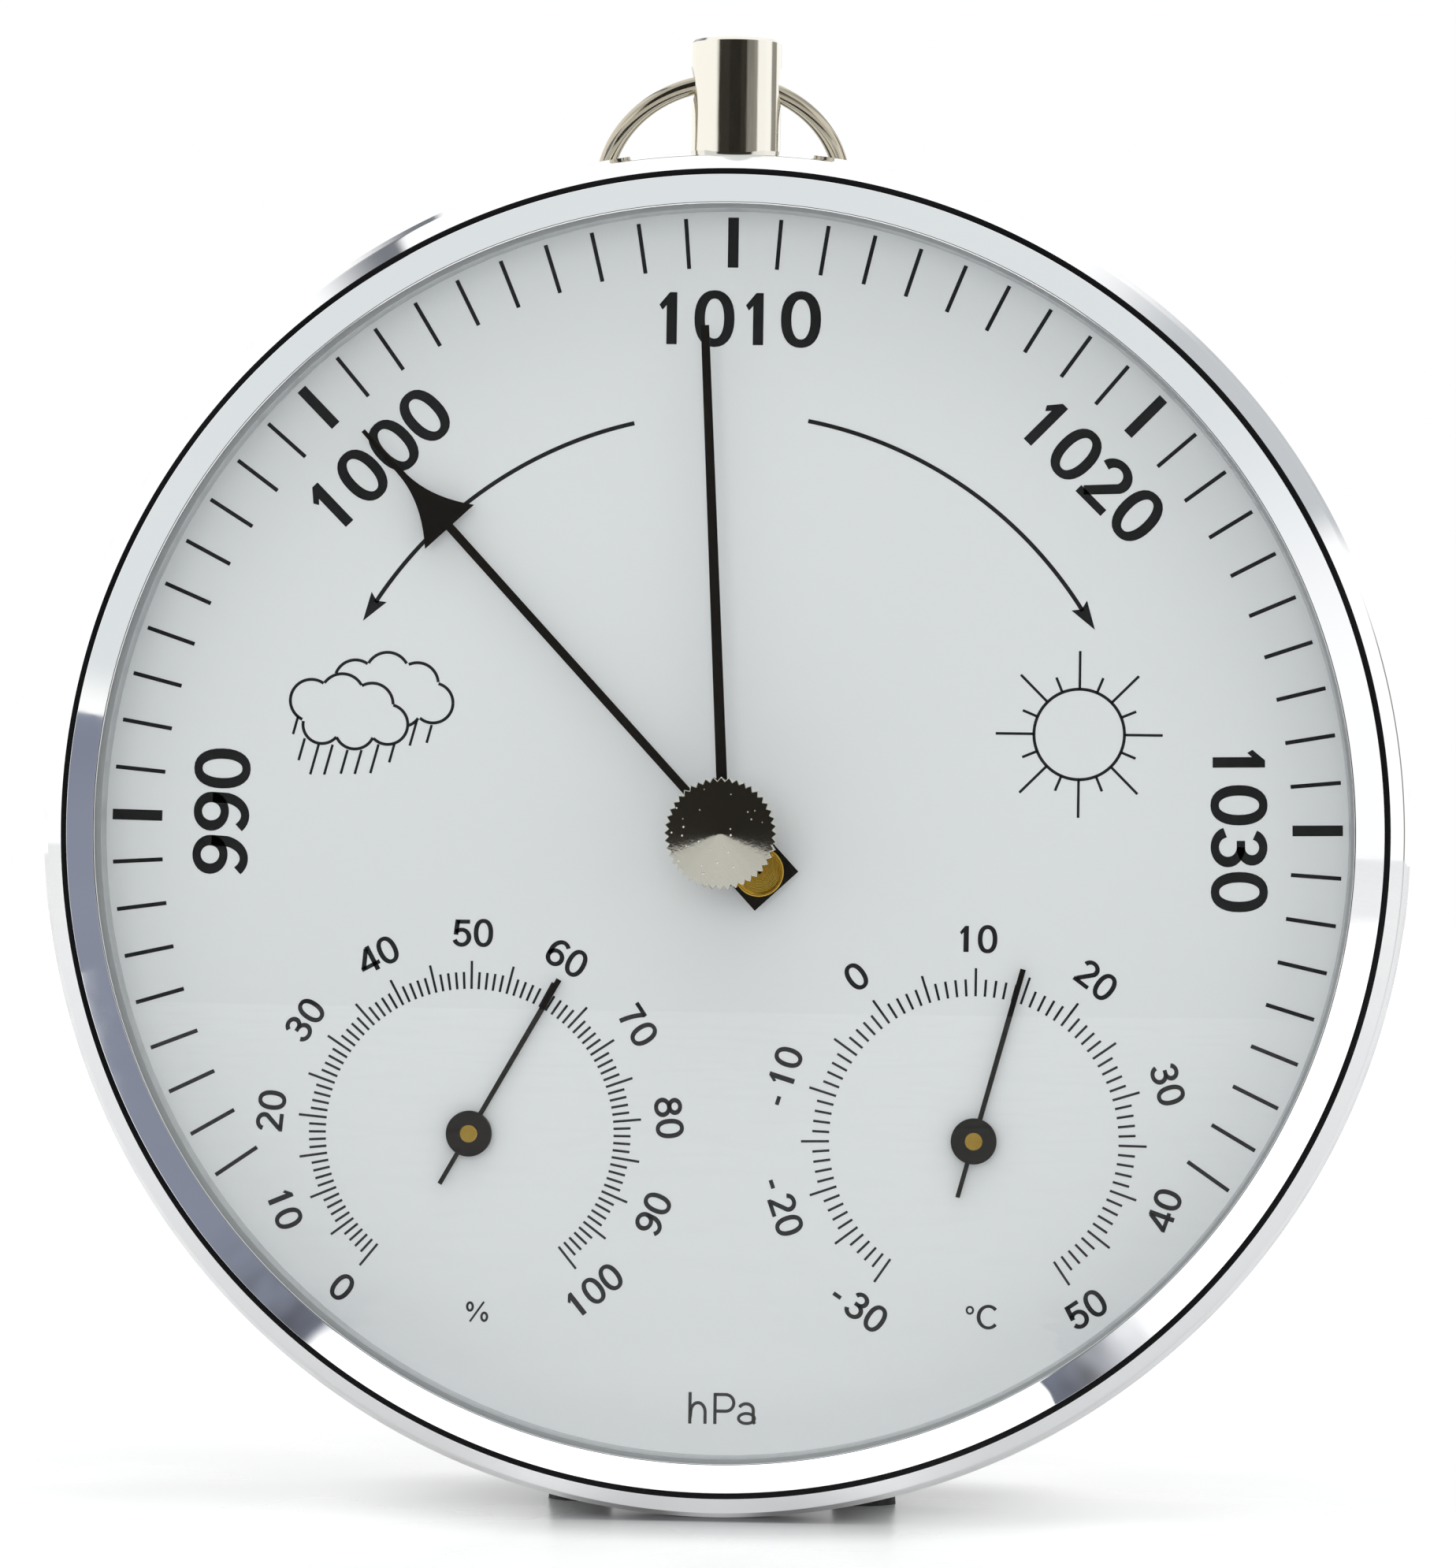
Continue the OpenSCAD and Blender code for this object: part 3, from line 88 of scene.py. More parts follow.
def mesh_object(name, bm):
    """An object with the mesh that was built."""
    mesh = bpy.data.meshes.new(name)
    bm.to_mesh(mesh)
    bm.free()
    return new_object(name, mesh)


def add_piece(name, bm, body, material, replaces=(), smooth_below=35):
    """A piece of the object. Edges that bend by less than smooth_below degrees look round."""
    piece = mesh_object(name, bm)
    for face in piece.data.polygons:
        face.use_smooth = True
    piece.data.set_sharp_from_angle(angle=math.radians(smooth_below))
    piece.data.materials.append(material)
    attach(piece, body)
    if replaces:
        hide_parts(*replaces)


def arc(cx, cy, r, start, end, steps):
    """Points on an arc. Its ends are degrees, counter-clockwise."""
    angles = (math.radians(start + (end - start) * i / steps) for i in range(steps + 1))
    return [(cx + r * math.cos(a), cy + r * math.sin(a)) for a in angles]


def round_angles(count):
    """Even angles round a circle, in radians."""
    return [2 * math.pi * i / count for i in range(count)]


def skin(bm, rings):
    """Joins each ring of corners to the next one with four-sided faces."""
    count = len(rings[0])
    for near, far in zip(rings, rings[1:]):
        for i in range(count):
            j = (i + 1) % count
            bm.faces.new((near[i], near[j], far[j], far[i]))


def lathe(profile, segments, x=0.0, z=AXIS_Z):
    """A ring turned about an axis along y from a closed loop of (radius, y) in metres."""
    bm = bmesh.new()
    rings = []
    for a in round_angles(segments):
        rings.append([bm.verts.new((x + r * math.cos(a), y, z + r * math.sin(a))) for r, y in profile])
    skin(bm, rings + rings[:1])
    bmesh.ops.recalc_face_normals(bm, faces=bm.faces)
    return bm


def upright(outline, segments):
    """A closed round pillar along z from a list of (radius, z)."""
    bm = bmesh.new()
    rings = []
    for r, z in outline:
        rings.append([bm.verts.new((r * math.cos(a), r * math.sin(a), z)) for a in round_angles(segments)])
    skin(bm, rings)
    bm.faces.new(list(reversed(rings[0])))
    bm.faces.new(rings[-1])
    bmesh.ops.recalc_face_normals(bm, faces=bm.faces)
    return bm


def bevel_line(start, end, hold):
    """Two points close to the ends of a straight line, so that smooth shading leaves it flat."""
    length = math.dist(start, end)
    near = tuple(a + (b - a) * hold / length for a, b in zip(start, end))
    far = tuple(b - (b - a) * hold / length for a, b in zip(start, end))
    return [near, far]


# Nodes of the materials and of the world
class Nodes:
    """Short calls for the nodes of one tree."""

    def __init__(self, tree):
        self.tree = tree

    def put(self, value, socket):
        """Sets a socket to a number or a colour, or links it to an output."""
        if isinstance(value, (int, float)):
            socket.default_value = value
        elif isinstance(value, tuple):
            socket.default_value = (*value, 1)
        else:
            self.tree.links.new(value, socket)

    def node(self, kind, values=None, **settings):
        """A new node with its settings, and with values put into its named or numbered sockets."""
        made = self.tree.nodes.new(kind)
        for key, value in settings.items():
            setattr(made, key, value)
        for key, value in (values or {}).items():
            self.put(value, made.inputs[key])
        return made

    def calc(self, operation, *values):
        return self.node("ShaderNodeMath", dict(enumerate(values)), operation=operation).outputs[0]

    def times(self, first, *others):
        for other in others:
            first = self.calc("MULTIPLY", first, other)
        return first

    def plus(self, first, second):
        return self.calc("ADD", first, second)

    def minus(self, first, second):
        return self.calc("SUBTRACT", first, second)

    def degrees(self, rise, run):
        """The angle of a direction in a plane."""
        return self.times(self.calc("ARCTAN2", rise, run), 180 / math.pi)

    def split(self, vector):
        return self.node("ShaderNodeSeparateXYZ", {0: vector}).outputs

    def spread(self, value, low, high, source=(0.3, 0.7), shape="LINEAR"):
        """Maps a value from a source range, by default that of a noise, to low and high."""
        ends = {"Value": value, "From Min": source[0], "From Max": source[1], "To Min": low, "To Max": high}
        return self.node("ShaderNodeMapRange", ends, interpolation_type=shape).outputs["Result"]

    def step(self, value, low, high):
        """A soft step from 0 at low to 1 at high. With low over high it falls."""
        if low < high:
            return self.spread(value, 0, 1, (low, high), "SMOOTHSTEP")
        return self.spread(value, 1, 0, (high, low), "SMOOTHSTEP")

    def band(self, value, rise, fall):
        """A soft step up, times a soft step down."""
        return self.times(self.step(value, *rise), self.step(value, *fall))

    def mix(self, factor, first, second):
        """A blend of two colours."""
        colours = {"Factor": factor, "A": first, "B": second}
        return self.node("ShaderNodeMix", colours, data_type="RGBA").outputs["Result"]

    def either(self, factor, first, second):
        """A blend of two shaders."""
        return self.node("ShaderNodeMixShader", {0: factor, 1: first, 2: second}).outputs[0]

    def rays(self):
        """Two outputs: 1 for what the camera sees, also through glass, and 1 for what shiny surfaces see."""
        path = self.node("ShaderNodeLightPath").outputs
        return self.calc("MAXIMUM", path["Is Camera Ray"], path["Is Transmission Ray"]), path["Is Glossy Ray"]


class Shader(Nodes):
    """A material with a Principled shader."""

    def __init__(self, name):
        self.mat = bpy.data.materials.new(name)
        self.mat.use_nodes = True
        super().__init__(self.mat.node_tree)
        self.bsdf = self.tree.nodes["Principled BSDF"]
        self.place = self.node("ShaderNodeTexCoord").outputs["Object"]

    def set(self, key, value):
        self.put(value, self.bsdf.inputs[key])

    def stretched(self, scale):
        """The place, with its axes scaled apart."""
        made = self.node("ShaderNodeMapping", {"Vector": self.place})
        made.inputs["Scale"].default_value = scale
        return made.outputs[0]

    def noise(self, scale, detail=1.0, place=None):
        values = {"Scale": scale, "Detail": detail, "Roughness": 0.55, "Vector": place or self.place}
        return self.node("ShaderNodeTexNoise", values).outputs["Fac"]

    def patches(self, scale, first, second, detail=1.0):
        """Two colours in soft patches."""
        return self.mix(self.spread(self.noise(scale, detail), 0, 1), first, second)

    def relief(self, value, height_mm, strength=1.0):
        """Normals for a surface that rises with a value."""
        values = {"Strength": strength, "Distance": height_mm * MM, "Height": value}
        return self.node("ShaderNodeBump", values).outputs["Normal"]

    def bump(self, value, height_mm, strength=1.0):
        self.set("Normal", self.relief(value, height_mm, strength))

    def surface(self, shader):
        """Shows another shader than the Principled one."""
        self.put(shader, self.tree.nodes["Material Output"].inputs["Surface"])


# Materials. Grain is a noise's scale, and a height is that of the relief in millimetres
def metal(name, first, second, rough_low, rough_high, grain, height_mm, stretch=(1, 1, 1)):
    """Metal of two close colours. Its grain can be drawn out along an axis."""
    s = Shader(name)
    grains = s.noise(grain, 2.0, s.stretched(stretch))
    s.set("Metallic", 1.0)
    s.set("Base Color", s.patches(25.0, first, second))
    s.set("Roughness", s.spread(grains, rough_low, rough_high))
    s.bump(grains, height_mm)
    return s.mat


def matte(name, first, second, rough_low, rough_high, grain, height_mm, gloss=0.5):
    """Paint, rubber or plastic of two close colours."""
    s = Shader(name)
    grains = s.noise(grain, 2.0)
    s.set("Specular IOR Level", gloss)
    s.set("Base Color", s.patches(60.0, first, second, 2.0))
    s.set("Roughness", s.spread(grains, rough_low, rough_high))
    s.bump(grains, height_mm)
    return s.mat


def ring_distance(s, centre):
    """Distance from an axis along y through a place, in millimetres."""
    x, _, z = s.split(s.place)
    dx = s.minus(x, centre.x)
    dz = s.minus(z, centre.z)
    squares = s.plus(s.times(dx, dx), s.times(dz, dz))
    return s.times(s.calc("SQRT", squares), 1 / MM)


def turned_metal(name, first, second, centre, pitch_mm, rough_low, rough_high):
    """Metal with the fine rings that a lathe leaves."""
    s = Shader(name)
    turns = s.times(ring_distance(s, centre), 2 * math.pi / pitch_mm)
    wobble = s.times(s.noise(1500.0), 5.0)
    rings = s.spread(s.calc("SINE", s.plus(turns, wobble)), 0, 1, (-1, 1))
    s.set("Metallic", 1.0)
    s.set("Base Color", s.patches(800.0, first, second))
    s.set("Roughness", s.spread(rings, rough_low, rough_high))
    s.bump(rings, 0.0025, 0.6)
    return s.mat


def knob_metal():
    """Bright chrome with dust specks and fine pits."""
    s = Shader("knob_chrome")
    cells = s.node("ShaderNodeTexVoronoi", {"Scale": 1250.0, "Vector": s.place})
    specks = s.spread(cells.outputs["Distance"], 1, 0, (0.08, 0.15))
    s.set("Base Color", s.mix(specks, (0.72, 0.70, 0.61), (0.80, 0.79, 0.74)))
    s.set("Metallic", s.spread(specks, 1, 0.1, (0, 1)))
    s.set("Roughness", s.spread(specks, 0.09, 0.6, (0, 1)))
    s.bump(s.plus(s.times(specks, 1.5), s.times(s.noise(2600.0, 2.0), 0.8)), 0.01, 0.6)
    return s.mat


def dial_paint():
    """Cool white paint with a faint mottle."""
    s = Shader("dial_white")
    fine = s.noise(2500.0)
    s.set("Specular IOR Level", 0.35)
    s.set("Base Color", s.patches(18.0, (0.835, 0.842, 0.853), (0.855, 0.862, 0.868)))
    s.set("Roughness", s.spread(fine, 0.42, 0.55))
    s.bump(fine, 0.002)
    return s.mat


def clear_glass():
    """Thin clear glass: its outward faces mirror by Fresnel, and it lets the rest through unbent."""
    s = Shader("clear_glass")
    s.tree.nodes.remove(s.bsdf)
    through = s.node("ShaderNodeBsdfTransparent", {"Color": (0.985, 0.992, 0.99)})
    ripple = s.relief(s.noise(60.0), 0.002)
    mirror = s.node("ShaderNodeBsdfGlossy", {"Color": (1, 1, 1), "Roughness": 0.01, "Normal": ripple})
    fresnel = s.node("ShaderNodeFresnel", {"IOR": 1.45})
    outward = s.minus(1, s.node("ShaderNodeNewGeometry").outputs["Backfacing"])
    s.surface(s.either(s.times(fresnel.outputs[0], outward), through.outputs[0], mirror.outputs[0]))
    return s.mat


CHROME = metal("polished_chrome", (0.95, 0.955, 0.96), (0.93, 0.94, 0.95), 0.03, 0.06, 300.0, 0.0004)
STEM_METAL = metal("stem_nickel", (0.92, 0.89, 0.81), (0.86, 0.83, 0.75), 0.06, 0.14, 900.0, 0.0015,
                   stretch=(6, 6, 0.3))
INK = matte("dial_ink", (0.012, 0.012, 0.013), (0.02, 0.02, 0.022), 0.35, 0.5, 3000.0, 0.001, gloss=0.25)
# Black for the thin ring that paints the gap between bezel and case dark
GAP_BLACK = matte("gap_ring_black", (0.005, 0.005, 0.006), (0.009, 0.009, 0.01), 0.6, 0.8, 1400.0, 0.01, gloss=0.1)

# One material for each slot of the record
MATERIALS = {
    "chrome": CHROME,
    "chrome_wire": metal("ring_wire", (0.64, 0.58, 0.46), (0.52, 0.47, 0.37), 0.06, 0.16, 700.0, 0.002),
    "knob_chrome": knob_metal(),
    "steel": metal("turned_steel", (0.62, 0.62, 0.63), (0.55, 0.55, 0.57), 0.2, 0.34, 1200.0, 0.002),
    "steel_strip": metal("spring_steel", (0.52, 0.53, 0.56), (0.44, 0.45, 0.49), 0.24, 0.4, 700.0, 0.003),
    "blued_steel": metal("blued_steel", (0.06, 0.11, 0.30), (0.10, 0.14, 0.26), 0.2, 0.35, 1500.0, 0.001),
    "glass": clear_glass(),
    "rubber": matte("black_rubber", (0.018, 0.018, 0.02), (0.03, 0.03, 0.032), 0.6, 0.85, 1400.0, 0.03),
    # White paint darkened to mid grey: painted shade of the recessed wall round the dial
    "white_paint": matte("wall_white_painted_shade", (0.52, 0.53, 0.545), (0.56, 0.57, 0.58), 0.35, 0.5, 1500.0, 0.004),
    "dial_paint": dial_paint(),
    "hand_paint": matte("hand_black", (0.008, 0.007, 0.006), (0.013, 0.010, 0.008), 0.34, 0.46,
                        2600.0, 0.0008, gloss=0.15),
    "brass": turned_metal("turned_brass", (0.86, 0.56, 0.10), (0.78, 0.48, 0.07), WEIGHT.mid,
                          0.15, 0.24, 0.34),
    "spring_brass": metal("spring_brass", (0.72, 0.52, 0.20), (0.64, 0.45, 0.17), 0.22, 0.36, 900.0, 0.002),
    "brass_plate": metal("brass_plate", (0.70, 0.53, 0.24), (0.62, 0.46, 0.20), 0.26, 0.42, 500.0, 0.004,
                         stretch=(1, 1, 12)),
    "capsule_metal": turned_metal("capsule_nickel", (0.70, 0.70, 0.68), (0.62, 0.62, 0.61), CASE.mid,
                                  0.5, 0.2, 0.32),
    "cup_metal": metal("cup_tin", (0.66, 0.67, 0.68), (0.60, 0.61, 0.62), 0.25, 0.4, 600.0, 0.003),
    "humidity_strip": matte("humidity_strip", (0.62, 0.52, 0.36), (0.54, 0.44, 0.30), 0.5, 0.7, 800.0, 0.008),
    "bimetal": metal("bimetal", (0.62, 0.50, 0.36), (0.52, 0.44, 0.36), 0.25, 0.4, 800.0, 0.002),
    "housing_plastic": matte("housing_black", (0.022, 0.023, 0.025), (0.032, 0.033, 0.035), 0.42, 0.6,
                             1600.0, 0.03),
}
BRASS_PIVOTS = ("hygrometer_arbor", "thermometer_arbor")


def dress_nodes():
    """Gives every CAD node its slot's material, apart from the brass pivots of the small hands."""
    for part in frame["record"]["subparts"]:
        slot = "brass" if part["node"] in BRASS_PIVOTS else part["material_slot"]
        for place in frame["nodes"][part["node"]].material_slots:
            place.material = MATERIALS[slot]


# Smooth turned pieces over the visible chrome and the glass
BAND_SEGMENTS = 360
HOLD = 0.03 * MM
LIP_R = 65.8 * MM
LIP_DEPTH = 3.2 * MM
# Sizes of the thin black ring that paints the gap between bezel and case dark
GAP_RING_CLEARANCE = 0.04 * MM
GAP_RING_CROWN = 0.1 * MM
GAP_RING_AHEAD = 0.35 * MM
BEZEL_EDGE = 0.12 * MM
BEZEL_EDGE_START = 165
BEZEL_RIM = 0.1 * MM
BEZEL_SLOPE = 37.0
BEZEL_FACE = 3.1 * MM
BEZEL_UNDERCUT = 0.3 * MM
BEZEL_SEAT_GAP = 0.1 * MM


def bezel_piece():
    """The bezel: a rounded inner edge, a sloping face and a seat behind it for the glass."""
    outer_r = BEZEL.r - GAP_RING_CLEARANCE
    window_r = outer_r - BEZEL_FACE
    rim_r = outer_r - BEZEL_RIM
    seat_r = GLASS.r + BEZEL_SEAT_GAP
    front, back = BEZEL.low.y, BEZEL.high.y
    lip_back = GASKET.low.y
    face_turn = 270 + BEZEL_SLOPE
    edge = arc(window_r + BEZEL_EDGE, front + BEZEL_EDGE, BEZEL_EDGE, BEZEL_EDGE_START, face_turn, 10)
    edge_r, edge_y = edge[-1]
    drop = (rim_r - edge_r) * math.tan(math.radians(BEZEL_SLOPE))
    rim = arc(rim_r, edge_y + drop + BEZEL_RIM, BEZEL_RIM, face_turn, 360, 5)
    seat = [(outer_r, back), (seat_r, back), (seat_r, lip_back), (window_r + BEZEL_UNDERCUT, lip_back)]
    profile = edge + bevel_line(edge[-1], rim[0], HOLD) + rim + seat
    add_piece("bezel_ring", lathe(profile, BAND_SEGMENTS), "case", CHROME, ["bezel"])


def rim_seal():
    """Thin black ring that paints the gap between the bezel and the case's lip dark."""
    low, high = BEZEL.r - GAP_RING_CLEARANCE, LIP_R
    front = BEZEL.low.y + LIP_DEPTH - GAP_RING_AHEAD
    edge, back = front + GAP_RING_CROWN, BEZEL.high.y
    profile = [(low, back), (low, edge), ((low + high) / 2, front), (high, edge), (high, back)]
    add_piece("rim_seal", lathe(profile, BAND_SEGMENTS), "case", GAP_BLACK)


# The case band in millimetres, with depths behind the bezel's front
SHOULDER_R = 66.25
SHOULDER_DEPTH = 5.4
SHOULDER_ROUND = 1.2
SIDE_DEPTH = 6.772
BACK_DEPTH = 15.0
BACK_ROUND = 4.5
BACK_HOLE_R = 51.978
BACK_WALL_DEPTH = 13.6
CHAMBER_R = 64.4
SHELF_R = 60.45
SHELF_DEPTHS = (10.8, 9.3)
BORE_R = 63.45
BORE_DEPTH = 7.0


def case_piece():
    """The case band with a flat front bevel and a rounded back."""
    lip_r, side_r = LIP_R / MM, CASE.r / MM
    lip = (lip_r, LIP_DEPTH / MM)
    shoulder = arc(SHOULDER_R, SHOULDER_DEPTH, SHOULDER_ROUND, -45, -5, 6)
    bevel = [lip] + bevel_line(lip, shoulder[0], HOLD / MM)
    corner = arc(side_r - BACK_ROUND, BACK_DEPTH - BACK_ROUND, BACK_ROUND, 0, 90, 16)
    shelf_back, shelf_front = SHELF_DEPTHS
    inner = [(BACK_HOLE_R, BACK_DEPTH), (BACK_HOLE_R, BACK_WALL_DEPTH), (CHAMBER_R, BACK_WALL_DEPTH),
             (CHAMBER_R, shelf_back), (SHELF_R, shelf_back), (SHELF_R, shelf_front), (BORE_R, shelf_front),
             (BORE_R, BORE_DEPTH), (lip_r, BORE_DEPTH)]
    outline = bevel + shoulder + [(side_r, SIDE_DEPTH)] + corner + inner
    zero = BEZEL.low.y / MM
    profile = [(r * MM, (depth + zero) * MM) for r, depth in outline]
    add_piece("case_band", lathe(profile, BAND_SEGMENTS), "case", CHROME, ["case_ring"])


GLASS_SEGMENTS = 240
GLASS_RISE = 1.8 * MM
GLASS_THICK = 1.96 * MM
GLASS_HOLE_R = 2.05 * MM
GLASS_STEPS = 24


def glass_piece():
    """The domed glass with its hole for the set spindle."""
    dome_r = (GLASS.r ** 2 + GLASS_RISE ** 2) / (2 * GLASS_RISE)
    width = GLASS.r - GLASS_HOLE_R
    radii = [GLASS_HOLE_R + width * i / GLASS_STEPS for i in range(GLASS_STEPS + 1)]
    front = [(r, GLASS.low.y + dome_r - math.sqrt(dome_r ** 2 - r ** 2)) for r in radii]
    back = [(r, y + GLASS_THICK) for r, y in reversed(front)]
    turned = lathe(front + back, GLASS_SEGMENTS)
    add_piece("dial_glass", turned, "case", MATERIALS["glass"], ["glass"])


# Each tooth of the knob has a tip, a valley and a point halfway up both of its sides
KNOB_TEETH = 44
TOOTH_POINTS = 4
KNOB_TOOTH = 0.42 * MM
KNOB_CHAMFER = 0.1 * MM
KNOB_CONE = 0.6 * MM
KNOB_COLLAR = 0.6 * MM
KNOB_TIP = 0.2 * MM


def knob_piece():
    """The set knob: a flat cone, a saw-toothed edge with a small chamfer, and a collar on the glass."""
    valley = KNOB.r - KNOB_TOOTH
    collar_r = valley - KNOB_TOOTH
    front, back = KNOB.low.y, KNOB.high.y
    angles = round_angles(TOOTH_POINTS * KNOB_TEETH)
    count = len(angles)
    half = TOOTH_POINTS // 2

    def star(inset):
        return [valley - inset + KNOB_TOOTH * abs(i % TOOTH_POINTS - half) / half for i in range(count)]

    def disc(r):
        return [r] * count

    cone = (disc(KNOB_TIP), disc(valley / 2), disc(valley - 2.5 * KNOB_CHAMFER), star(1.3 * KNOB_CHAMFER),
            star(KNOB_CHAMFER))
    levels = [(radii, [front + KNOB_CONE / KNOB.r * r for r in radii]) for radii in cone]
    for radii, y in ((star(0), front + KNOB_CONE + KNOB_CHAMFER), (star(0), back - KNOB_COLLAR),
                     (disc(collar_r), back - KNOB_COLLAR), (disc(collar_r), back)):
        levels.append((radii, [y] * count))
    bm = bmesh.new()
    rings = []
    for radii, depths in levels:
        corners = [(KNOB.mid.x + r * math.cos(a), y, KNOB.mid.z + r * math.sin(a))
                   for r, y, a in zip(radii, depths, angles)]
        rings.append([bm.verts.new(corner) for corner in corners])
    skin(bm, rings)
    tip = bm.verts.new((KNOB.mid.x, front, KNOB.mid.z))
    for i in range(count):
        bm.faces.new((rings[0][(i + 1) % count], rings[0][i], tip))
    bm.faces.new(rings[-1])
    bmesh.ops.recalc_face_normals(bm, faces=bm.faces)
    add_piece("toothed_knob", bm, "set_hand", MATERIALS["knob_chrome"], ["set_knob"],
              smooth_below=22)


WEIGHT_SEGMENTS = 120
WEIGHT_RIM = 0.28 * MM
WEIGHT_DISH = 0.22 * MM
WEIGHT_HOLE_R = 0.2 * MM
WEIGHT_ROUND = 0.1 * MM
RIM_BEVEL = 0.04 * MM
RIM_BEVEL_DEPTH = 0.03 * MM


def weight_piece():
    """The turned brass weight: a dished disc with a raised rim and a small centre hole."""
    hole, r, mid = WEIGHT_HOLE_R, WEIGHT.r, WEIGHT.mid
    front, back = WEIGHT.low.y, WEIGHT.high.y
    floor = front + WEIGHT_DISH
    rim = r - WEIGHT_RIM
    dish = [(hole, back), (hole, floor + WEIGHT_ROUND), (hole + WEIGHT_ROUND, floor),
            (rim - WEIGHT_ROUND, floor)]
    edge = [(rim, front + RIM_BEVEL_DEPTH), (rim + RIM_BEVEL, front), (r - WEIGHT_ROUND, front),
            (r, front + WEIGHT_ROUND), (r, back)]
    turned = lathe(dish + edge, WEIGHT_SEGMENTS, mid.x, mid.z)
    add_piece("brass_weight", turned, "pointer", MATERIALS["brass"], ["pointer_weight"])


# The stem's foot is a height above the case's middle, and its hole one above the ground
STEM_SEGMENTS = 128
STEM_FOOT = 66.0 * MM
STEM_CHAMFER = 0.3 * MM
STEM_TURN = 5.0
STEM_HOLE_SEGMENTS = 64
STEM_HOLE_Z = 142.6 * MM
STEM_HOLE_R = 1.575 * MM
STEM_MOUTH = 0.5 * MM


def stem_pin():
    """The round pin with its chamfered top, round the z axis."""
    r, top, foot = STEM.r, STEM.high.z, AXIS_Z + STEM_FOOT
    chamfer = top - STEM_CHAMFER
    outline = [(r, foot), (r, foot + HOLD), (r, chamfer - HOLD), (r, chamfer), (r - STEM_CHAMFER, top)]
    return upright(outline, STEM_SEGMENTS)


def stem_cutter():
    """What the cross hole and its countersunk mouths take out of that pin."""
    wide = STEM_HOLE_R + STEM_MOUTH + HOLD
    reach = STEM.r + HOLD
    throat = STEM.r - STEM_MOUTH
    outline = [(wide, -reach), (STEM_HOLE_R, -throat), (STEM_HOLE_R, throat), (wide, reach)]
    cutter = upright(outline, STEM_HOLE_SEGMENTS)
    side = Matrix.Rotation(math.radians(STEM_TURN), 4, "Z") @ Matrix.Rotation(math.radians(90), 4, "Y")
    bmesh.ops.transform(cutter, matrix=Matrix.Translation((0, 0, STEM_HOLE_Z)) @ side, verts=cutter.verts)
    return cutter


def stem_piece():
    """The thick pin on top, with a countersunk cross hole for the ring."""
    made = []
    for name, bm in (("stem_raw", stem_pin()), ("stem_cutter", stem_cutter())):
        bmesh.ops.translate(bm, vec=(STEM.mid.x, STEM.mid.y, 0), verts=bm.verts)
        made.append(mesh_object(name, bm))
    raw, tool = made
    cut = raw.modifiers.new("hole", "BOOLEAN")
    cut.operation = "DIFFERENCE"
    cut.solver = "EXACT"
    cut.object = tool
    view = raw.evaluated_get(bpy.context.evaluated_depsgraph_get())
    bm = bmesh.new()
    bm.from_mesh(view.to_mesh())
    view.to_mesh_clear()
    for item in made:
        bpy.data.objects.remove(item)
    add_piece("stem_pin", bm, "case", STEM_METAL, ["stem"], smooth_below=25)


# Flat print on the dial, as ribbons and polygons just in front of it
INK_LIFT = 0.02 * MM


def ribbon_quads(points, pen, closed=False):
    """A line of a pen's width, as quads. The pen is one width, or a width across and a width up."""
    across, up = pen if isinstance(pen, tuple) else (pen, pen)
    n = len(points)
    sides = []
    for i, (x, z) in enumerate(points):
        before = points[i - 1] if i or closed else None
        after = points[(i + 1) % n] if i < n - 1 or closed else None
        normals = []
        for a, b in ((before, (x, z)), ((x, z), after)):
            if a and b:
                length = math.dist(a, b)
                normals.append((-(b[1] - a[1]) / length, (b[0] - a[0]) / length))
        nx = sum(v[0] for v in normals) / len(normals)
        nz = sum(v[1] for v in normals) / len(normals)
        size = math.hypot(nx, nz)
        nx, nz = nx / size, nz / size
        half = 0.5 * math.hypot(across * nx, up * nz) / size
        sides.append(((x + nx * half, z + nz * half), (x - nx * half, z - nz * half)))
    quads = []
    for i in range(n if closed else n - 1):
        (a, b), (c, d) = sides[i], sides[(i + 1) % n]
        quads.append([a, c, d, b])
    return quads


class Print:
    """Collects flat faces on the dial. Points are millimetres from the dial's middle."""

    def __init__(self):
        self.bm = bmesh.new()

    def face(self, points):
        verts = [self.bm.verts.new((x * MM, DIAL_FRONT - INK_LIFT, AXIS_Z + z * MM)) for x, z in points]
        face = self.bm.faces.new(verts)
        face.normal_update()
        if face.normal.y > 0:
            face.normal_flip()

    def ribbon(self, points, pen, closed=False):
        for quad in ribbon_quads(points, pen, closed):
            self.face(quad)

    def done(self, name):
        add_piece(name, self.bm, "case", INK)


def at_clock(cx, cz, r, angle):
    """The point at a clock angle on a circle."""
    a = math.radians(angle)
    return cx + r * math.sin(a), cz + r * math.cos(a)


def oval(cx, cy, rx, ry, start=0.0, end=360.0, steps=28, square=2.0):
    """Points on an oval. A square value over 2 fills its corners."""
    points = []
    for i in range(steps + 1):
        a = math.radians(start + (end - start) * i / steps)
        c, s = math.cos(a), math.sin(a)
        points.append((cx + rx * math.copysign(abs(c) ** (2 / square), c),
                       cy + ry * math.copysign(abs(s) ** (2 / square), s)))
    return points


def loop(cx, cy, rx, ry, steps=28, square=2.0):
    """A whole oval without its repeated last point, for a closed line."""
    return oval(cx, cy, rx, ry, steps=steps, square=square)[:-1]


def bend(start, middle, end, steps=8):
    """Points on a parabola between two ends, pulled towards a middle point."""
    points = []
    for i in range(steps + 1):
        t = i / steps
        p, q, r = (1 - t) ** 2, 2 * t * (1 - t), t * t
        points.append(tuple(p * a + q * b + r * c for a, b, c in zip(start, middle, end)))
    return points


def six():
    return [loop(0.43, 0.31, 0.275, 0.26), oval(0.50, 0.50, 0.345, 0.465, 48, 165, 16) + [(0.155, 0.33)]]


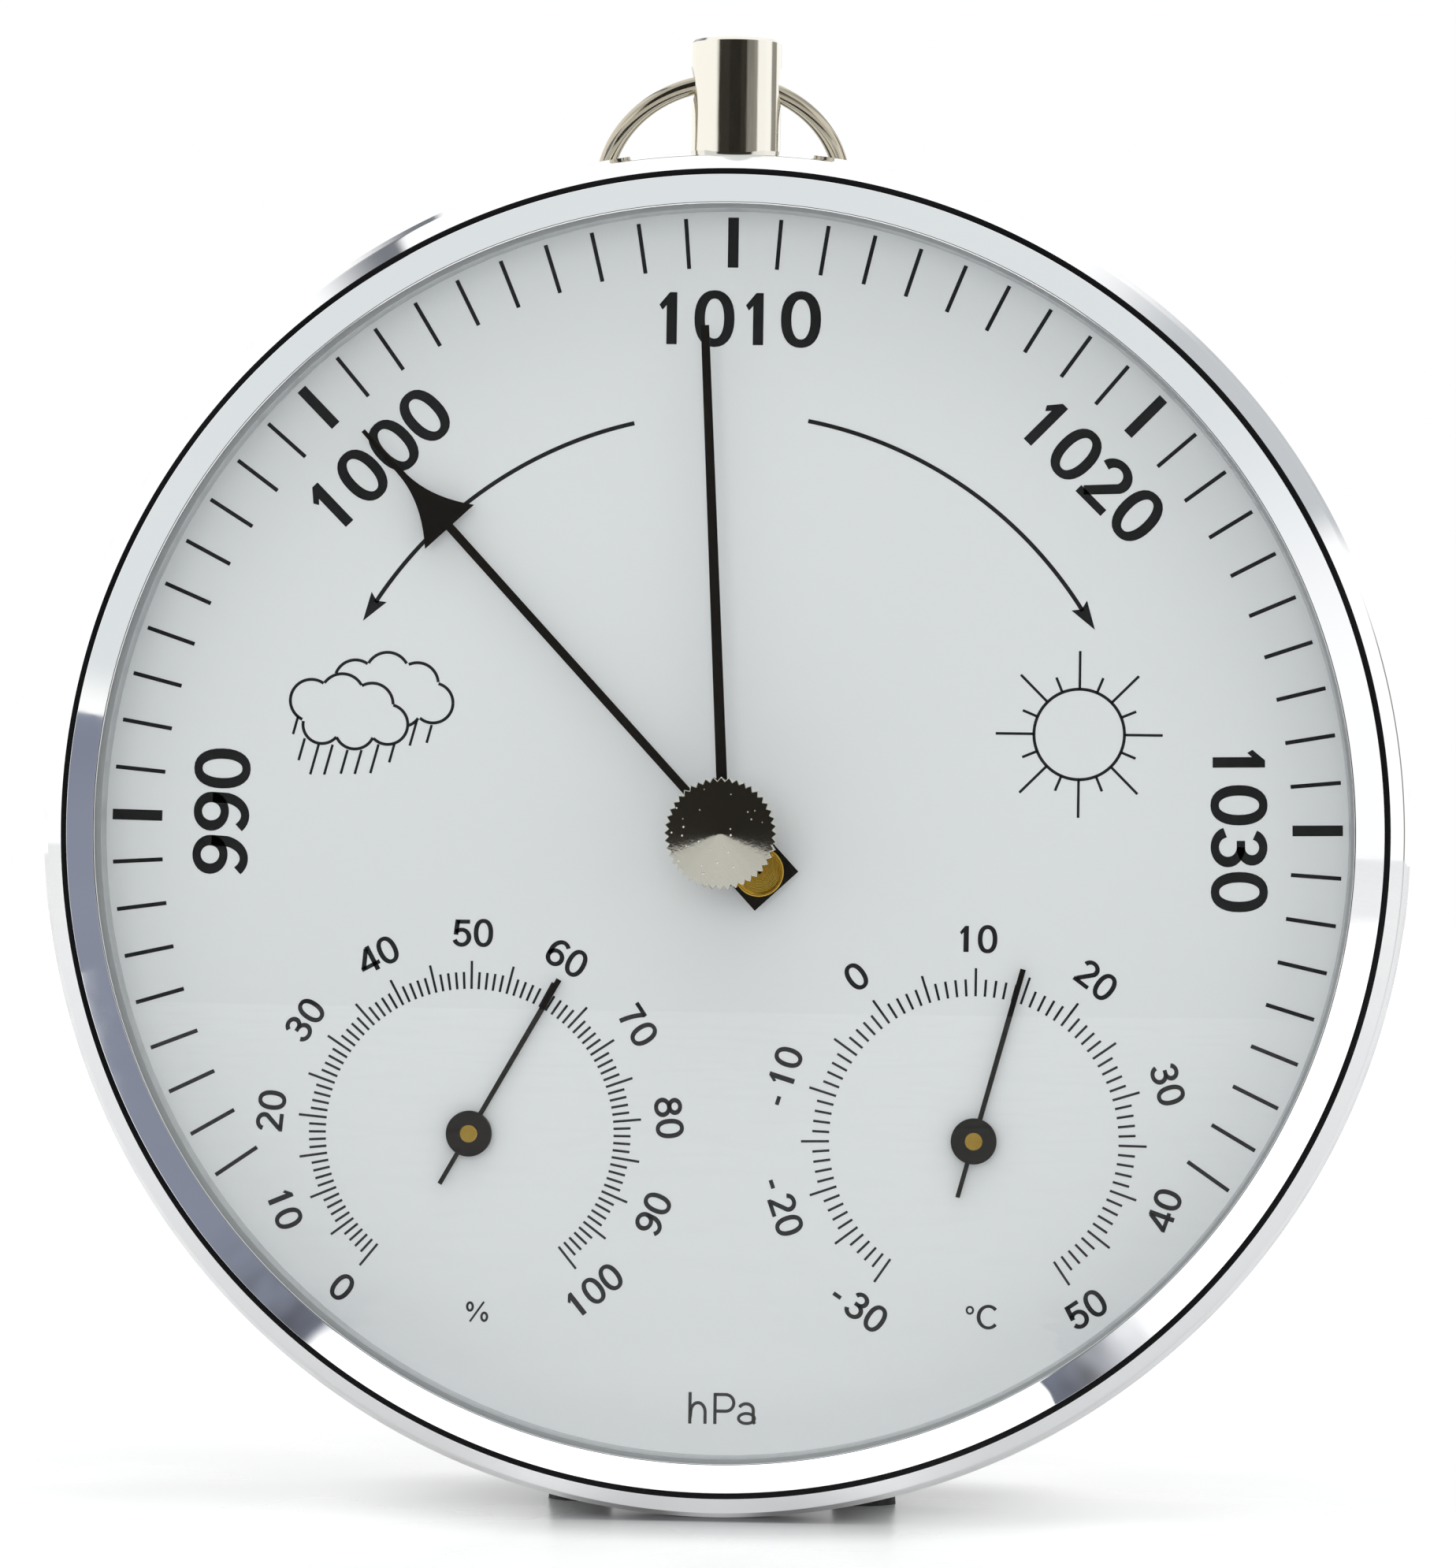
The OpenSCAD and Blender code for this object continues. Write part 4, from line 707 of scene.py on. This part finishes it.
# Strokes of the numbers in cap heights, in a cell of CELL's width. CLOSED lists the strokes that close
CELL = 0.83
GLYPHS = {
    "0": [loop(0.43, 0.5, 0.285, 0.465, square=2.25)],
    "2": [oval(0.42, 0.725, 0.265, 0.24, 172, -28, 18) + [(0.19, 0.12)], [(0.09, 0.075), (0.77, 0.075)]],
    "3": [oval(0.41, 0.745, 0.245, 0.215, 165, -90, 18), oval(0.40, 0.285, 0.285, 0.25, 90, -168, 20),
          [(0.28, 0.533), (0.42, 0.533)]],
    "4": [[(0.54, 0.93), (0.11, 0.27)], [(0.03, 0.265), (0.80, 0.265)], [(0.60, 0.0), (0.60, 1.0)]],
    "5": [[(0.74, 0.925), (0.24, 0.925)], [(0.27, 1.0), (0.20, 0.42)],
          oval(0.42, 0.325, 0.285, 0.29, 140, -160, 20)],
    "6": six(),
    "7": [[(0.10, 0.925), (0.72, 0.925)], bend((0.66, 0.93), (0.42, 0.55), (0.34, 0.0))],
    "8": [loop(0.43, 0.755, 0.24, 0.205), loop(0.43, 0.285, 0.285, 0.25)],
    "9": [[(0.86 - x, 1 - y) for x, y in stroke] for stroke in six()],
    "-": [[(0.22, 0.37), (0.56, 0.37)]],
}
CLOSED = {"0": (0,), "6": (0,), "9": (0,), "8": (0, 1)}

# The number 1 is two faces: its upright and its flag
ONE_UPRIGHT = [(0.54, 0), (0.54, 1), (0.40, 1), (0.34, 0.75), (0.34, 0)]
ONE_FLAG = [(0.40, 1), (0.20, 0.76), (0.26, 0.66), (0.34, 0.75)]


def glyph_faces(glyph, pen):
    """The faces of one printed sign, in its own cell."""
    if glyph == "1":
        return [ONE_UPRIGHT, ONE_FLAG]
    closed = CLOSED.get(glyph, ())
    faces = []
    for k, stroke in enumerate(GLYPHS[glyph]):
        faces += ribbon_quads(stroke, pen, k in closed)
    return faces


def write(ink, text, x, z, turn, height, pen):
    """Prints a number whose middle is at a place, turned clockwise."""
    c, s = math.cos(math.radians(turn)), math.sin(math.radians(turn))
    for i, glyph in enumerate(text):
        start = -len(text) * CELL / 2 + i * CELL
        for face in glyph_faces(glyph, pen):
            moved = [((px + start) * height, (py - 0.5) * height) for px, py in face]
            ink.face([(x + px * c + py * s, z - px * s + py * c) for px, py in moved])


# Barometer scale
HPA_STEP = 4.45
HPA_MIDDLE = 1010
HPA_TICKS = (982, 1038)
HPA_NUMBERS = (990, 1030)
TICK_OUT = 61.4
TICK_IN = 56.4
TICK_WIDTH = 0.4
MAIN_TICK_WIDTH = 1.06
NUMBER_MIDDLE = (0.3, 0.5)
NUMBER_R = 50.8
NUMBER_HEIGHT = 5.2
NUMBER_PEN = (0.2, 0.16)


def upto(ends, stride=1):
    """Whole numbers from the first end to the last one, which is included."""
    return range(ends[0], ends[1] + 1, stride)


def tick(ink, cx, cz, inner, outer, angle, width):
    ink.ribbon([at_clock(cx, cz, inner, angle), at_clock(cx, cz, outer, angle)], width)


def barometer_ticks():
    ink = Print()
    for hpa in upto(HPA_TICKS):
        width = MAIN_TICK_WIDTH if hpa % 10 == 0 else TICK_WIDTH
        tick(ink, 0, 0, TICK_IN, TICK_OUT, (hpa - HPA_MIDDLE) * HPA_STEP, width)
    ink.done("barometer_ticks")


def barometer_numbers():
    ink = Print()
    for hpa in upto(HPA_NUMBERS, 10):
        angle = (hpa - HPA_MIDDLE) * HPA_STEP
        write(ink, str(hpa), *at_clock(*NUMBER_MIDDLE, NUMBER_R, angle), angle, NUMBER_HEIGHT, NUMBER_PEN)
    ink.done("barometer_numbers")


# Each arrow's start and the root of its head, in clock angles
ARROW_ENDS = ((-13.3, -56.5), (10.6, 56.5))
ARROW_R = 41.9
ARROW_PEN = 0.42
ARROW_STEPS = 40
ARROW_OVERLAP = 0.9
HEAD_LENGTH = 2.9
HEAD_NOTCH = 0.45
HEAD_HALF = 0.92


def trend_arrows():
    """Two curved arrows towards low and high pressure."""
    ink = Print()
    for start, end in ARROW_ENDS:
        turn = end + math.copysign(ARROW_OVERLAP, end) - start
        ink.ribbon([at_clock(0, 0, ARROW_R, start + turn * i / ARROW_STEPS) for i in range(ARROW_STEPS + 1)],
                   ARROW_PEN)
        side = math.copysign(1, end)
        a = math.radians(end)
        x, z = at_clock(0, 0, ARROW_R, end)
        ahead_x, ahead_z = side * math.cos(a), -side * math.sin(a)
        out_x, out_z = math.sin(a) * HEAD_HALF, math.cos(a) * HEAD_HALF
        tip = (x + ahead_x * HEAD_LENGTH, z + ahead_z * HEAD_LENGTH)
        notch = (x + ahead_x * HEAD_NOTCH, z + ahead_z * HEAD_NOTCH)
        for sign in (-1, 1):
            ink.face([tip, (x + sign * out_x, z + sign * out_z), notch])
    ink.done("trend_arrows")


# The middle and radius of each circle of a cloud, and the top and length of each rain stroke
FRONT_CLOUD = [(-41.6, 12.7, 2.1), (-38.5, 13.2, 2.2), (-35.5, 12.4, 2.1), (-33.9, 10.4, 2.0),
               (-37.2, 9.9, 2.0), (-40.5, 10.3, 1.9), (-38.3, 11.3, 2.2)]
REAR_CLOUD = [(-37.2, 14.7, 2.1), (-34.0, 15.4, 2.2), (-31.0, 14.5, 2.1), (-29.4, 12.6, 2.0),
              (-32.5, 12.2, 2.0)]
RAIN = [(-42.9, 11.1, 1.8), (-42.2, 8.9, 2.2), (-40.8, 8.3, 3.0), (-39.4, 8.3, 3.0), (-37.9, 7.8, 2.4),
        (-36.5, 7.8, 2.4), (-34.8, 8.4, 2.9), (-33.2, 8.5, 1.9), (-31.0, 10.8, 2.5), (-29.5, 10.4, 1.8)]
RAIN_SLANT = 0.27
CLOUD_PEN = 0.3
RAIN_PEN = 0.255
CIRCLE_STEPS = 72
TOUCH = 0.01


def outline_runs(circles, hidden=()):
    """The runs of a cloud's edge: the parts of its circles outside all the others."""
    runs = []
    for k, (cx, cz, r) in enumerate(circles):
        others = [c for i, c in enumerate(circles) if i != k] + list(hidden)
        runs.append([])
        for point in oval(cx, cz, r, r, steps=CIRCLE_STEPS):
            if all(math.dist(point, c[:2]) >= c[2] - TOUCH for c in others):
                runs[-1].append(point)
            else:
                runs.append([])
    return [run for run in runs if len(run) > 1]


def rain_clouds():
    """Two puffy clouds with slanted rain."""
    ink = Print()
    for run in outline_runs(FRONT_CLOUD) + outline_runs(REAR_CLOUD, FRONT_CLOUD):
        ink.ribbon(run, CLOUD_PEN)
    for x, top, length in RAIN:
        ink.ribbon([(x, top), (x - RAIN_SLANT * length, top - length)], RAIN_PEN)
    ink.done("rain_clouds")


SUN_PLACE = (35.1, 10.3)
SUN_R = 4.5
SUN_PEN = 0.3
RAYS = 16
RAY_ENDS = (8.3, 6.1)
RAY_PEN = 0.26


def sun():
    """A ring with long and short rays in turn."""
    ink = Print()
    ink.ribbon(loop(*SUN_PLACE, SUN_R, SUN_R, steps=CIRCLE_STEPS), SUN_PEN, True)
    for i in range(RAYS):
        tick(ink, *SUN_PLACE, SUN_R, RAY_ENDS[i % 2], i * 360 / RAYS, RAY_PEN)
    ink.done("sun")


# Small dials, each measured from its own middle
SMALL_IN = 14.4
SMALL_OUT = 16.1
SMALL_MAIN_OUT = 17.2
SMALL_WIDTH = 0.24
SMALL_HEIGHT = 2.6
SMALL_PEN = (0.18, 0.155)


def cup_place(cup):
    """A small dial's middle in dial coordinates."""
    return cup.mid.x / MM, (cup.mid.z - AXIS_Z) / MM


def small_scale(name, cup, ends, middle, degrees, number_r):
    """A small dial's ticks and numbers. The numbers below its middle turn their heads inwards."""
    ink = Print()
    cx, cz = cup_place(cup)
    for value in upto(ends):
        outer = SMALL_MAIN_OUT if value % 5 == 0 else SMALL_OUT
        tick(ink, cx, cz, SMALL_IN, outer, (value - middle) * degrees, SMALL_WIDTH)
    for value in upto(ends, 10):
        angle = (value - middle) * degrees
        turn = angle + 180 if abs(angle) > 90 else angle
        write(ink, str(value), *at_clock(cx, cz, number_r, angle), turn, SMALL_HEIGHT, SMALL_PEN)
    ink.done(name)


# Unit marks. The first two are placed from the middles of their dials
PERCENT_OFFSET = (1.0, -17.8)
PERCENT_PEN = 0.2
PERCENT_RING_PEN = 0.24
CELSIUS_OFFSET = (1.1, -17.5)
CELSIUS_PEN = (0.38, 0.3)
DEGREE_PEN = 0.2
PRESSURE_PLACE = (0.3, -57.4)
PRESSURE_PEN = 0.32
BOWL_PEN = 0.3


def percent_mark(ink, x, z):
    ink.ribbon([(x - 0.72, z - 1.0), (x + 0.68, z + 1.0)], PERCENT_PEN)
    for side in (-1, 1):
        ink.ribbon(loop(x + side * 0.72, z - side * 0.5, 0.28, 0.4, 24), PERCENT_RING_PEN, True)


def celsius_mark(ink, x, z):
    ink.ribbon(loop(x - 1.25, z + 0.65, 0.32, 0.34, 24), DEGREE_PEN, True)
    ink.ribbon(oval(x + 0.6, z, 0.98, 1.08, 42, 318, 24), CELSIUS_PEN)


def pressure_mark(ink, x, z):
    """The letters of hPa, from left to right."""
    pen, foot = PRESSURE_PEN, z - 1.5
    h_left, p_left, p_top = x - 3.05, x - 0.55, z + 1.45
    h_arch = oval(x - 2.25, z - 0.35, 0.72, 0.95, 180, 0, 14)
    p_bowl = oval(x + 0.5, z + 0.62, 0.82, 0.83, 90, -90, 14)
    a_arch = oval(x + 2.55, z - 0.05, 0.72, 0.62, 155, 0, 12)
    ink.ribbon([(h_left, foot), (h_left, z + 1.65)], pen)
    ink.ribbon([(h_left, z - 0.2)] + h_arch + [(x - 1.53, foot)], pen)
    ink.ribbon([(p_left, foot), (p_left, z + 1.6)], pen)
    ink.ribbon([(p_left, p_top), (x + 0.5, p_top)] + p_bowl + [(p_left, z - 0.21)], pen)
    ink.ribbon(a_arch + [(x + 3.27, z - 1.2), (x + 3.45, z - 1.42)], pen)
    ink.ribbon(loop(x + 2.6, z - 0.9, 0.8, 0.5, 20), BOWL_PEN, True)


def units():
    """The generic unit marks %, degrees Celsius and hPa."""
    ink = Print()
    for mark, cup, offset in ((percent_mark, HUMIDITY_CUP, PERCENT_OFFSET),
                              (celsius_mark, TEMPERATURE_CUP, CELSIUS_OFFSET)):
        x, z = cup_place(cup)
        mark(ink, x + offset[0], z + offset[1])
    pressure_mark(ink, *PRESSURE_PLACE)
    ink.done("unit_marks")


# Stage: a white table and a white surround, which look different to shiny surfaces. In metres
TABLE_FRONT = -0.82
TABLE_HALF = 2.2
TABLE_WHITE = (0.80, 0.80, 0.795)
TABLE_ROUGH = (0.25, 0.32)
TABLE_GLOSS = 0.3
SHADOW_COLOUR = (0.10, 0.10, 0.11)
SHADOW_SHARE = 0.95
SHADOW_LESS_AHEAD = 0.6
OBJECT_MID_Y = 0.003
OBJECT_HALF_Y = 0.012
OBJECT_WIDENING = 0.6
NEAR_GLOW, FAR_GLOW = 0.29, 0.75
SHINE_ALL, SHINE_FRONT, SHINE_STRIP = 0.12, 0.6, 0.45
# Colours of the painted dark reflections on the table
DIM_BLUE = (0.24, 0.26, 0.33)
DIM_DARK = (0.10, 0.105, 0.125)
DIM_WAVE = 0.012
DIM_LINE_Y, DIM_LINE_SLOPE = -0.0045, 0.15

# Soft steps on the table, each from where nothing of it shows to where all of it does
AHEAD_Y = (-0.0125, -0.0145)
NEAR_GLOW_AWAY = (0.009, 0.026)
FAR_GLOW_AWAY = (0.06, 0.2)
SHADOW_AWAY = (0.0125, 0.004)
SHINE_FRONT_Y = (-0.14, -0.08)
STRIP_Y = (-0.0086, -0.0098)
STRIP_HALF = (0.034, 0.0)
DIM_Y = (-0.17, -0.14)
DIM_LEFT_X = (-0.051, -0.056)
DIM_LEFT_LINE = (0.002, -0.002)
DIM_RIGHT_X = ((0.0406, 0.0414), (0.066, 0.043))
DARKER_DIM_X = (-0.09, -0.054)


def table_distance(s, x, y):
    """Distance from the place where the object stands, which is wider than deep."""
    across = s.times(x, OBJECT_WIDENING)
    along = s.calc("MAXIMUM", s.minus(s.calc("ABSOLUTE", s.minus(y, OBJECT_MID_Y)), OBJECT_HALF_Y), 0.0)
    return s.calc("SQRT", s.plus(s.times(across, across), s.times(along, along)))


def table_shine(s, x, y, ahead):
    """What shiny surfaces see of the table: a painted glow, faint everywhere, more in front and in a strip
    under the lip.
    """
    front = s.times(ahead, s.step(y, *SHINE_FRONT_Y), SHINE_FRONT)
    strip = s.times(s.step(y, *STRIP_Y), s.step(s.calc("ABSOLUTE", x), *STRIP_HALF))
    strip = s.times(strip, s.minus(1.0, ahead), SHINE_STRIP)
    return s.plus(strip, s.plus(SHINE_ALL, front))


def table_dims(s, x, y, ahead):
    """Painted dark bluish reflections at the left and right, which only shiny surfaces see: how much, and
    their colour, dark in noisy patches and bluer far to the left.
    """
    side = s.plus(x, s.times(s.minus(s.noise(90.0, 2.0), 0.5), DIM_WAVE))
    line = s.plus(DIM_LINE_Y, s.times(x, DIM_LINE_SLOPE))
    left = s.times(s.step(side, *DIM_LEFT_X), s.step(s.minus(y, line), *DIM_LEFT_LINE))
    right = s.times(s.band(side, *DIM_RIGHT_X), ahead)
    # Noisy darker patches in the painted reflections, away from the far left
    darker_dim = s.times(s.step(side, *DARKER_DIM_X), s.spread(s.noise(160.0), 0.3, 1.0))
    return s.calc("MAXIMUM", left, right), s.mix(darker_dim, DIM_BLUE, DIM_DARK)


def table_material():
    """White for the camera by a painted glow, with a painted contact shadow under the object."""
    s = Shader("white_table")
    x, y, _ = s.split(s.place)
    seen, shiny = s.rays()
    ahead = s.step(y, *AHEAD_Y)
    away = table_distance(s, x, y)
    # Painted light: the table glows for the camera, little near the object and fully far off, which leaves a
    # painted soft shadow round it
    near_white = s.times(s.step(away, *NEAR_GLOW_AWAY), NEAR_GLOW)
    white = s.plus(near_white, s.times(s.step(away, *FAR_GLOW_AWAY), FAR_GLOW))
    # Painted contact shadow: the table's colour goes dark close to the object, less so in front of it
    kept = s.minus(1.0, s.times(ahead, SHADOW_LESS_AHEAD))
    contact = s.times(s.step(away, *SHADOW_AWAY), SHADOW_SHARE, kept)
    s.set("Base Color", s.mix(contact, TABLE_WHITE, SHADOW_COLOUR))
    s.set("Roughness", s.spread(s.noise(40.0), *TABLE_ROUGH))
    s.set("Specular IOR Level", s.times(s.minus(1.0, contact), TABLE_GLOSS))
    glow = s.plus(s.times(seen, white), s.times(shiny, table_shine(s, x, y, ahead)))
    light = s.node("ShaderNodeEmission", {"Strength": glow}).outputs[0]
    lit = s.node("ShaderNodeAddShader", {0: s.bsdf.outputs[0], 1: light}).outputs[0]
    dim, colour = table_dims(s, x, y, ahead)
    dimmed = s.node("ShaderNodeEmission", {"Color": colour}).outputs[0]
    s.surface(s.either(s.times(shiny, dim, s.step(y, *DIM_Y)), lit, dimmed))
    return s.mat


def stage_floor():
    """The table top, which starts in front of the object and reaches far behind it."""
    bm = bmesh.new()
    bmesh.ops.create_grid(bm, x_segments=8, y_segments=8, size=1)
    for v in bm.verts:
        v.co.x *= TABLE_HALF
        v.co.y = TABLE_FRONT + (v.co.y + 1) * TABLE_HALF
    table = mesh_object("table_top", bm)
    table.data.materials.append(table_material())


# The studio: plain light, and a room that shiny surfaces see
WORLD_LIGHT = 0.8
WORLD_SLOPE = 0.25
WORLD_COLOUR = (0.975, 0.988, 1.0)
CAMERA_WHITE = (1.0, 1.0, 1.0)
ROOM_WHITE = (1.1, 1.1, 1.1)
ROOM_WINDOW = (1.1, 1.1, 1.08)
ROOM_DUSK = (0.30, 0.29, 0.27)
ROOM_DARK = (0.035, 0.032, 0.027)
ROOM_CORE = (0.022, 0.020, 0.017)
ROOM_GAP = (0.52, 0.54, 0.56)
ROOM_STREAK = (0.2, 0.21, 0.23)
ROOM_LOW = (1.06, 1.06, 1.07)
ROOM_HIGH = (0.76, 0.79, 0.80)
HIGH_LEAN = 0.45
GAP_SHARE = 0.9

# Soft steps and bands of the room, by the parts of a direction, and by angles where TURN is in the name
HIGH_Z = (-0.2, 0.4)
GAP_TURN = ((26, 31), (62, 49))
STREAK_TURN = ((121, 122.2), (131, 123.2))
AHEAD_PART = (0.03, 0.14)
LEVEL_Z = (0.35, 0.25)
WINDOW_Z = (0.24, 0.16)
WINDOW_X = (-0.3, -0.6)
DUSK_TURN = ((0, 10), (62, 56))
FAR_DUSK_TURN = ((103, 108), (131, 126))
DARK_TURN = ((-48, -40), (34, 27))
DARK_PART = (0.60, 0.68)
DARK_Z = (0.1, 0.16)
CORE_PART = (0.955, 0.97)


def room_ahead(t, x, z):
    """Bright low down, and pale grey overhead and to the left."""
    return t.mix(t.step(t.minus(z, t.times(x, HIGH_LEAN)), *HIGH_Z), ROOM_LOW, ROOM_HIGH)


def room_behind(t, x, z):
    """White, with a grey gap at the upper right and a thin dark streak at the upper left."""
    turn = t.degrees(z, x)
    gap = t.times(t.band(turn, *GAP_TURN), GAP_SHARE)
    return t.mix(t.band(turn, *STREAK_TURN), t.mix(gap, ROOM_WHITE, ROOM_GAP), ROOM_STREAK)


def room_colour(t, x, z, front):
    """All of the room: a dark part in front, a window at the left and two dusky stretches at the right."""
    colour = t.mix(t.step(front, *AHEAD_PART), room_behind(t, x, z), room_ahead(t, x, z))
    across = t.degrees(x, front)
    height = t.calc("ABSOLUTE", z)
    level = t.step(height, *LEVEL_Z)
    window = t.times(t.step(height, *WINDOW_Z), t.step(x, *WINDOW_X))
    colour = t.mix(window, colour, ROOM_WINDOW)
    dusk = t.times(t.band(across, *DUSK_TURN), level)
    far_dusk = t.times(t.band(across, *FAR_DUSK_TURN), level)
    colour = t.mix(t.calc("MAXIMUM", dusk, far_dusk), colour, ROOM_DUSK)
    low_dark = t.times(t.band(across, *DARK_TURN), level)
    high_dark = t.times(t.step(front, *DARK_PART), t.step(z, *DARK_Z))
    dark = t.mix(t.step(front, *CORE_PART), ROOM_DARK, ROOM_CORE)
    return t.mix(t.calc("MAXIMUM", low_dark, high_dark), colour, dark)


def studio_world():
    """White for the camera, plain soft light for the object and a room for shiny surfaces."""
    world = bpy.data.worlds.new("studio")
    bpy.context.scene.world = world
    world.use_nodes = True
    t = Nodes(world.node_tree)
    t.tree.nodes.clear()
    x, y, z = t.split(t.node("ShaderNodeTexCoord").outputs["Generated"])
    seen, shiny = t.rays()
    strength = t.times(WORLD_LIGHT, t.minus(1.0, t.times(z, WORLD_SLOPE)))
    looks = ({"Color": WORLD_COLOUR, "Strength": strength}, {"Color": CAMERA_WHITE},
             {"Color": room_colour(t, x, z, t.times(y, -1))})
    plain, white, room = (t.node("ShaderNodeBackground", look).outputs[0] for look in looks)
    shown = t.either(shiny, t.either(seen, plain, white), room)
    t.node("ShaderNodeOutputWorld", {"Surface": shown})


CARD_X = -0.3
CARD_FRONT = -0.2
CARD_BACK = -0.03
CARD_TOP = 0.118
CARD_COLOURS = ((0.22, 0.24, 0.31), (0.28, 0.30, 0.37))


def blue_card():
    """A card at the left that only the polished surfaces see."""
    mesh = bpy.data.meshes.new("blue_card")
    corners = ((CARD_FRONT, 0), (CARD_BACK, 0), (CARD_BACK, CARD_TOP), (CARD_FRONT, CARD_TOP))
    mesh.from_pydata([(CARD_X, y, z) for y, z in corners], [], [(0, 1, 2, 3)])
    card = new_object("blue_card", mesh)
    for ray in ("camera", "diffuse", "shadow", "transmission", "volume_scatter"):
        setattr(card, "visible_" + ray, False)
    s = Shader("blue_card")
    colour = s.patches(12.0, *CARD_COLOURS)
    s.surface(s.node("ShaderNodeEmission", {"Color": colour}).outputs[0])
    mesh.materials.append(s.mat)


# Lights, and the camera from a fit to the barometer's ticks in the photograph
LIGHT_AIM = (0, 0, 0.07)


def facing(place, aim):
    return (Vector(aim) - Vector(place)).to_track_quat("-Z", "Y")


def softbox(name, place, size, power):
    """A rectangular light that no shiny surface mirrors, aimed at the middle of the object."""
    light = bpy.data.lights.new(name, "AREA")
    light.shape = "RECTANGLE"
    light.size, light.size_y = size
    light.energy = power
    lamp = new_object(name, light)
    lamp.location = place
    lamp.rotation_euler = facing(place, LIGHT_AIM).to_euler()
    lamp.visible_camera = False
    lamp.visible_glossy = False


SENSOR = 36.0
LENS = 149.1
CAMERA_PLACE = (26.0, -647.0, 2.0)
CAMERA_AIM = (0.2, 0.0, 4.9)
CAMERA_ROLL = 0.78


def from_dial(x, y, z):
    """A place in metres, from millimetres to the right of the dial's middle, behind it and above it."""
    return Vector((x * MM, DIAL_FRONT + y * MM, AXIS_Z + z * MM))


def photo_camera():
    data = bpy.data.cameras.new("photo_camera")
    data.sensor_width = SENSOR
    data.sensor_fit = "AUTO"
    data.lens = LENS
    camera = new_object("photo_camera", data)
    place, aim = from_dial(*CAMERA_PLACE), from_dial(*CAMERA_AIM)
    camera.location = place
    roll = Matrix.Rotation(math.radians(CAMERA_ROLL), 4, "Z")
    camera.rotation_euler = (facing(place, aim).to_matrix().to_4x4() @ roll).to_euler()
    bpy.context.scene.camera = camera


# The whole scene
dress_nodes()
bezel_piece()
rim_seal()
case_piece()
glass_piece()
knob_piece()
weight_piece()
stem_piece()
barometer_ticks()
barometer_numbers()
trend_arrows()
rain_clouds()
sun()
small_scale("humidity_scale", HUMIDITY_CUP, (0, 100), 50, 2.82, 20.0)
small_scale("temperature_scale", TEMPERATURE_CUP, (-30, 50), 10, 3.64, 20.1)
units()
stage_floor()
studio_world()
blue_card()
softbox("top_light", (0.05, -0.35, 1.1), (0.9, 0.7), 2.6)
softbox("front_light", (-0.1, -1.4, 0.15), (0.8, 0.8), 5.4)
photo_camera()
bpy.context.scene.view_settings.view_transform = "Standard"
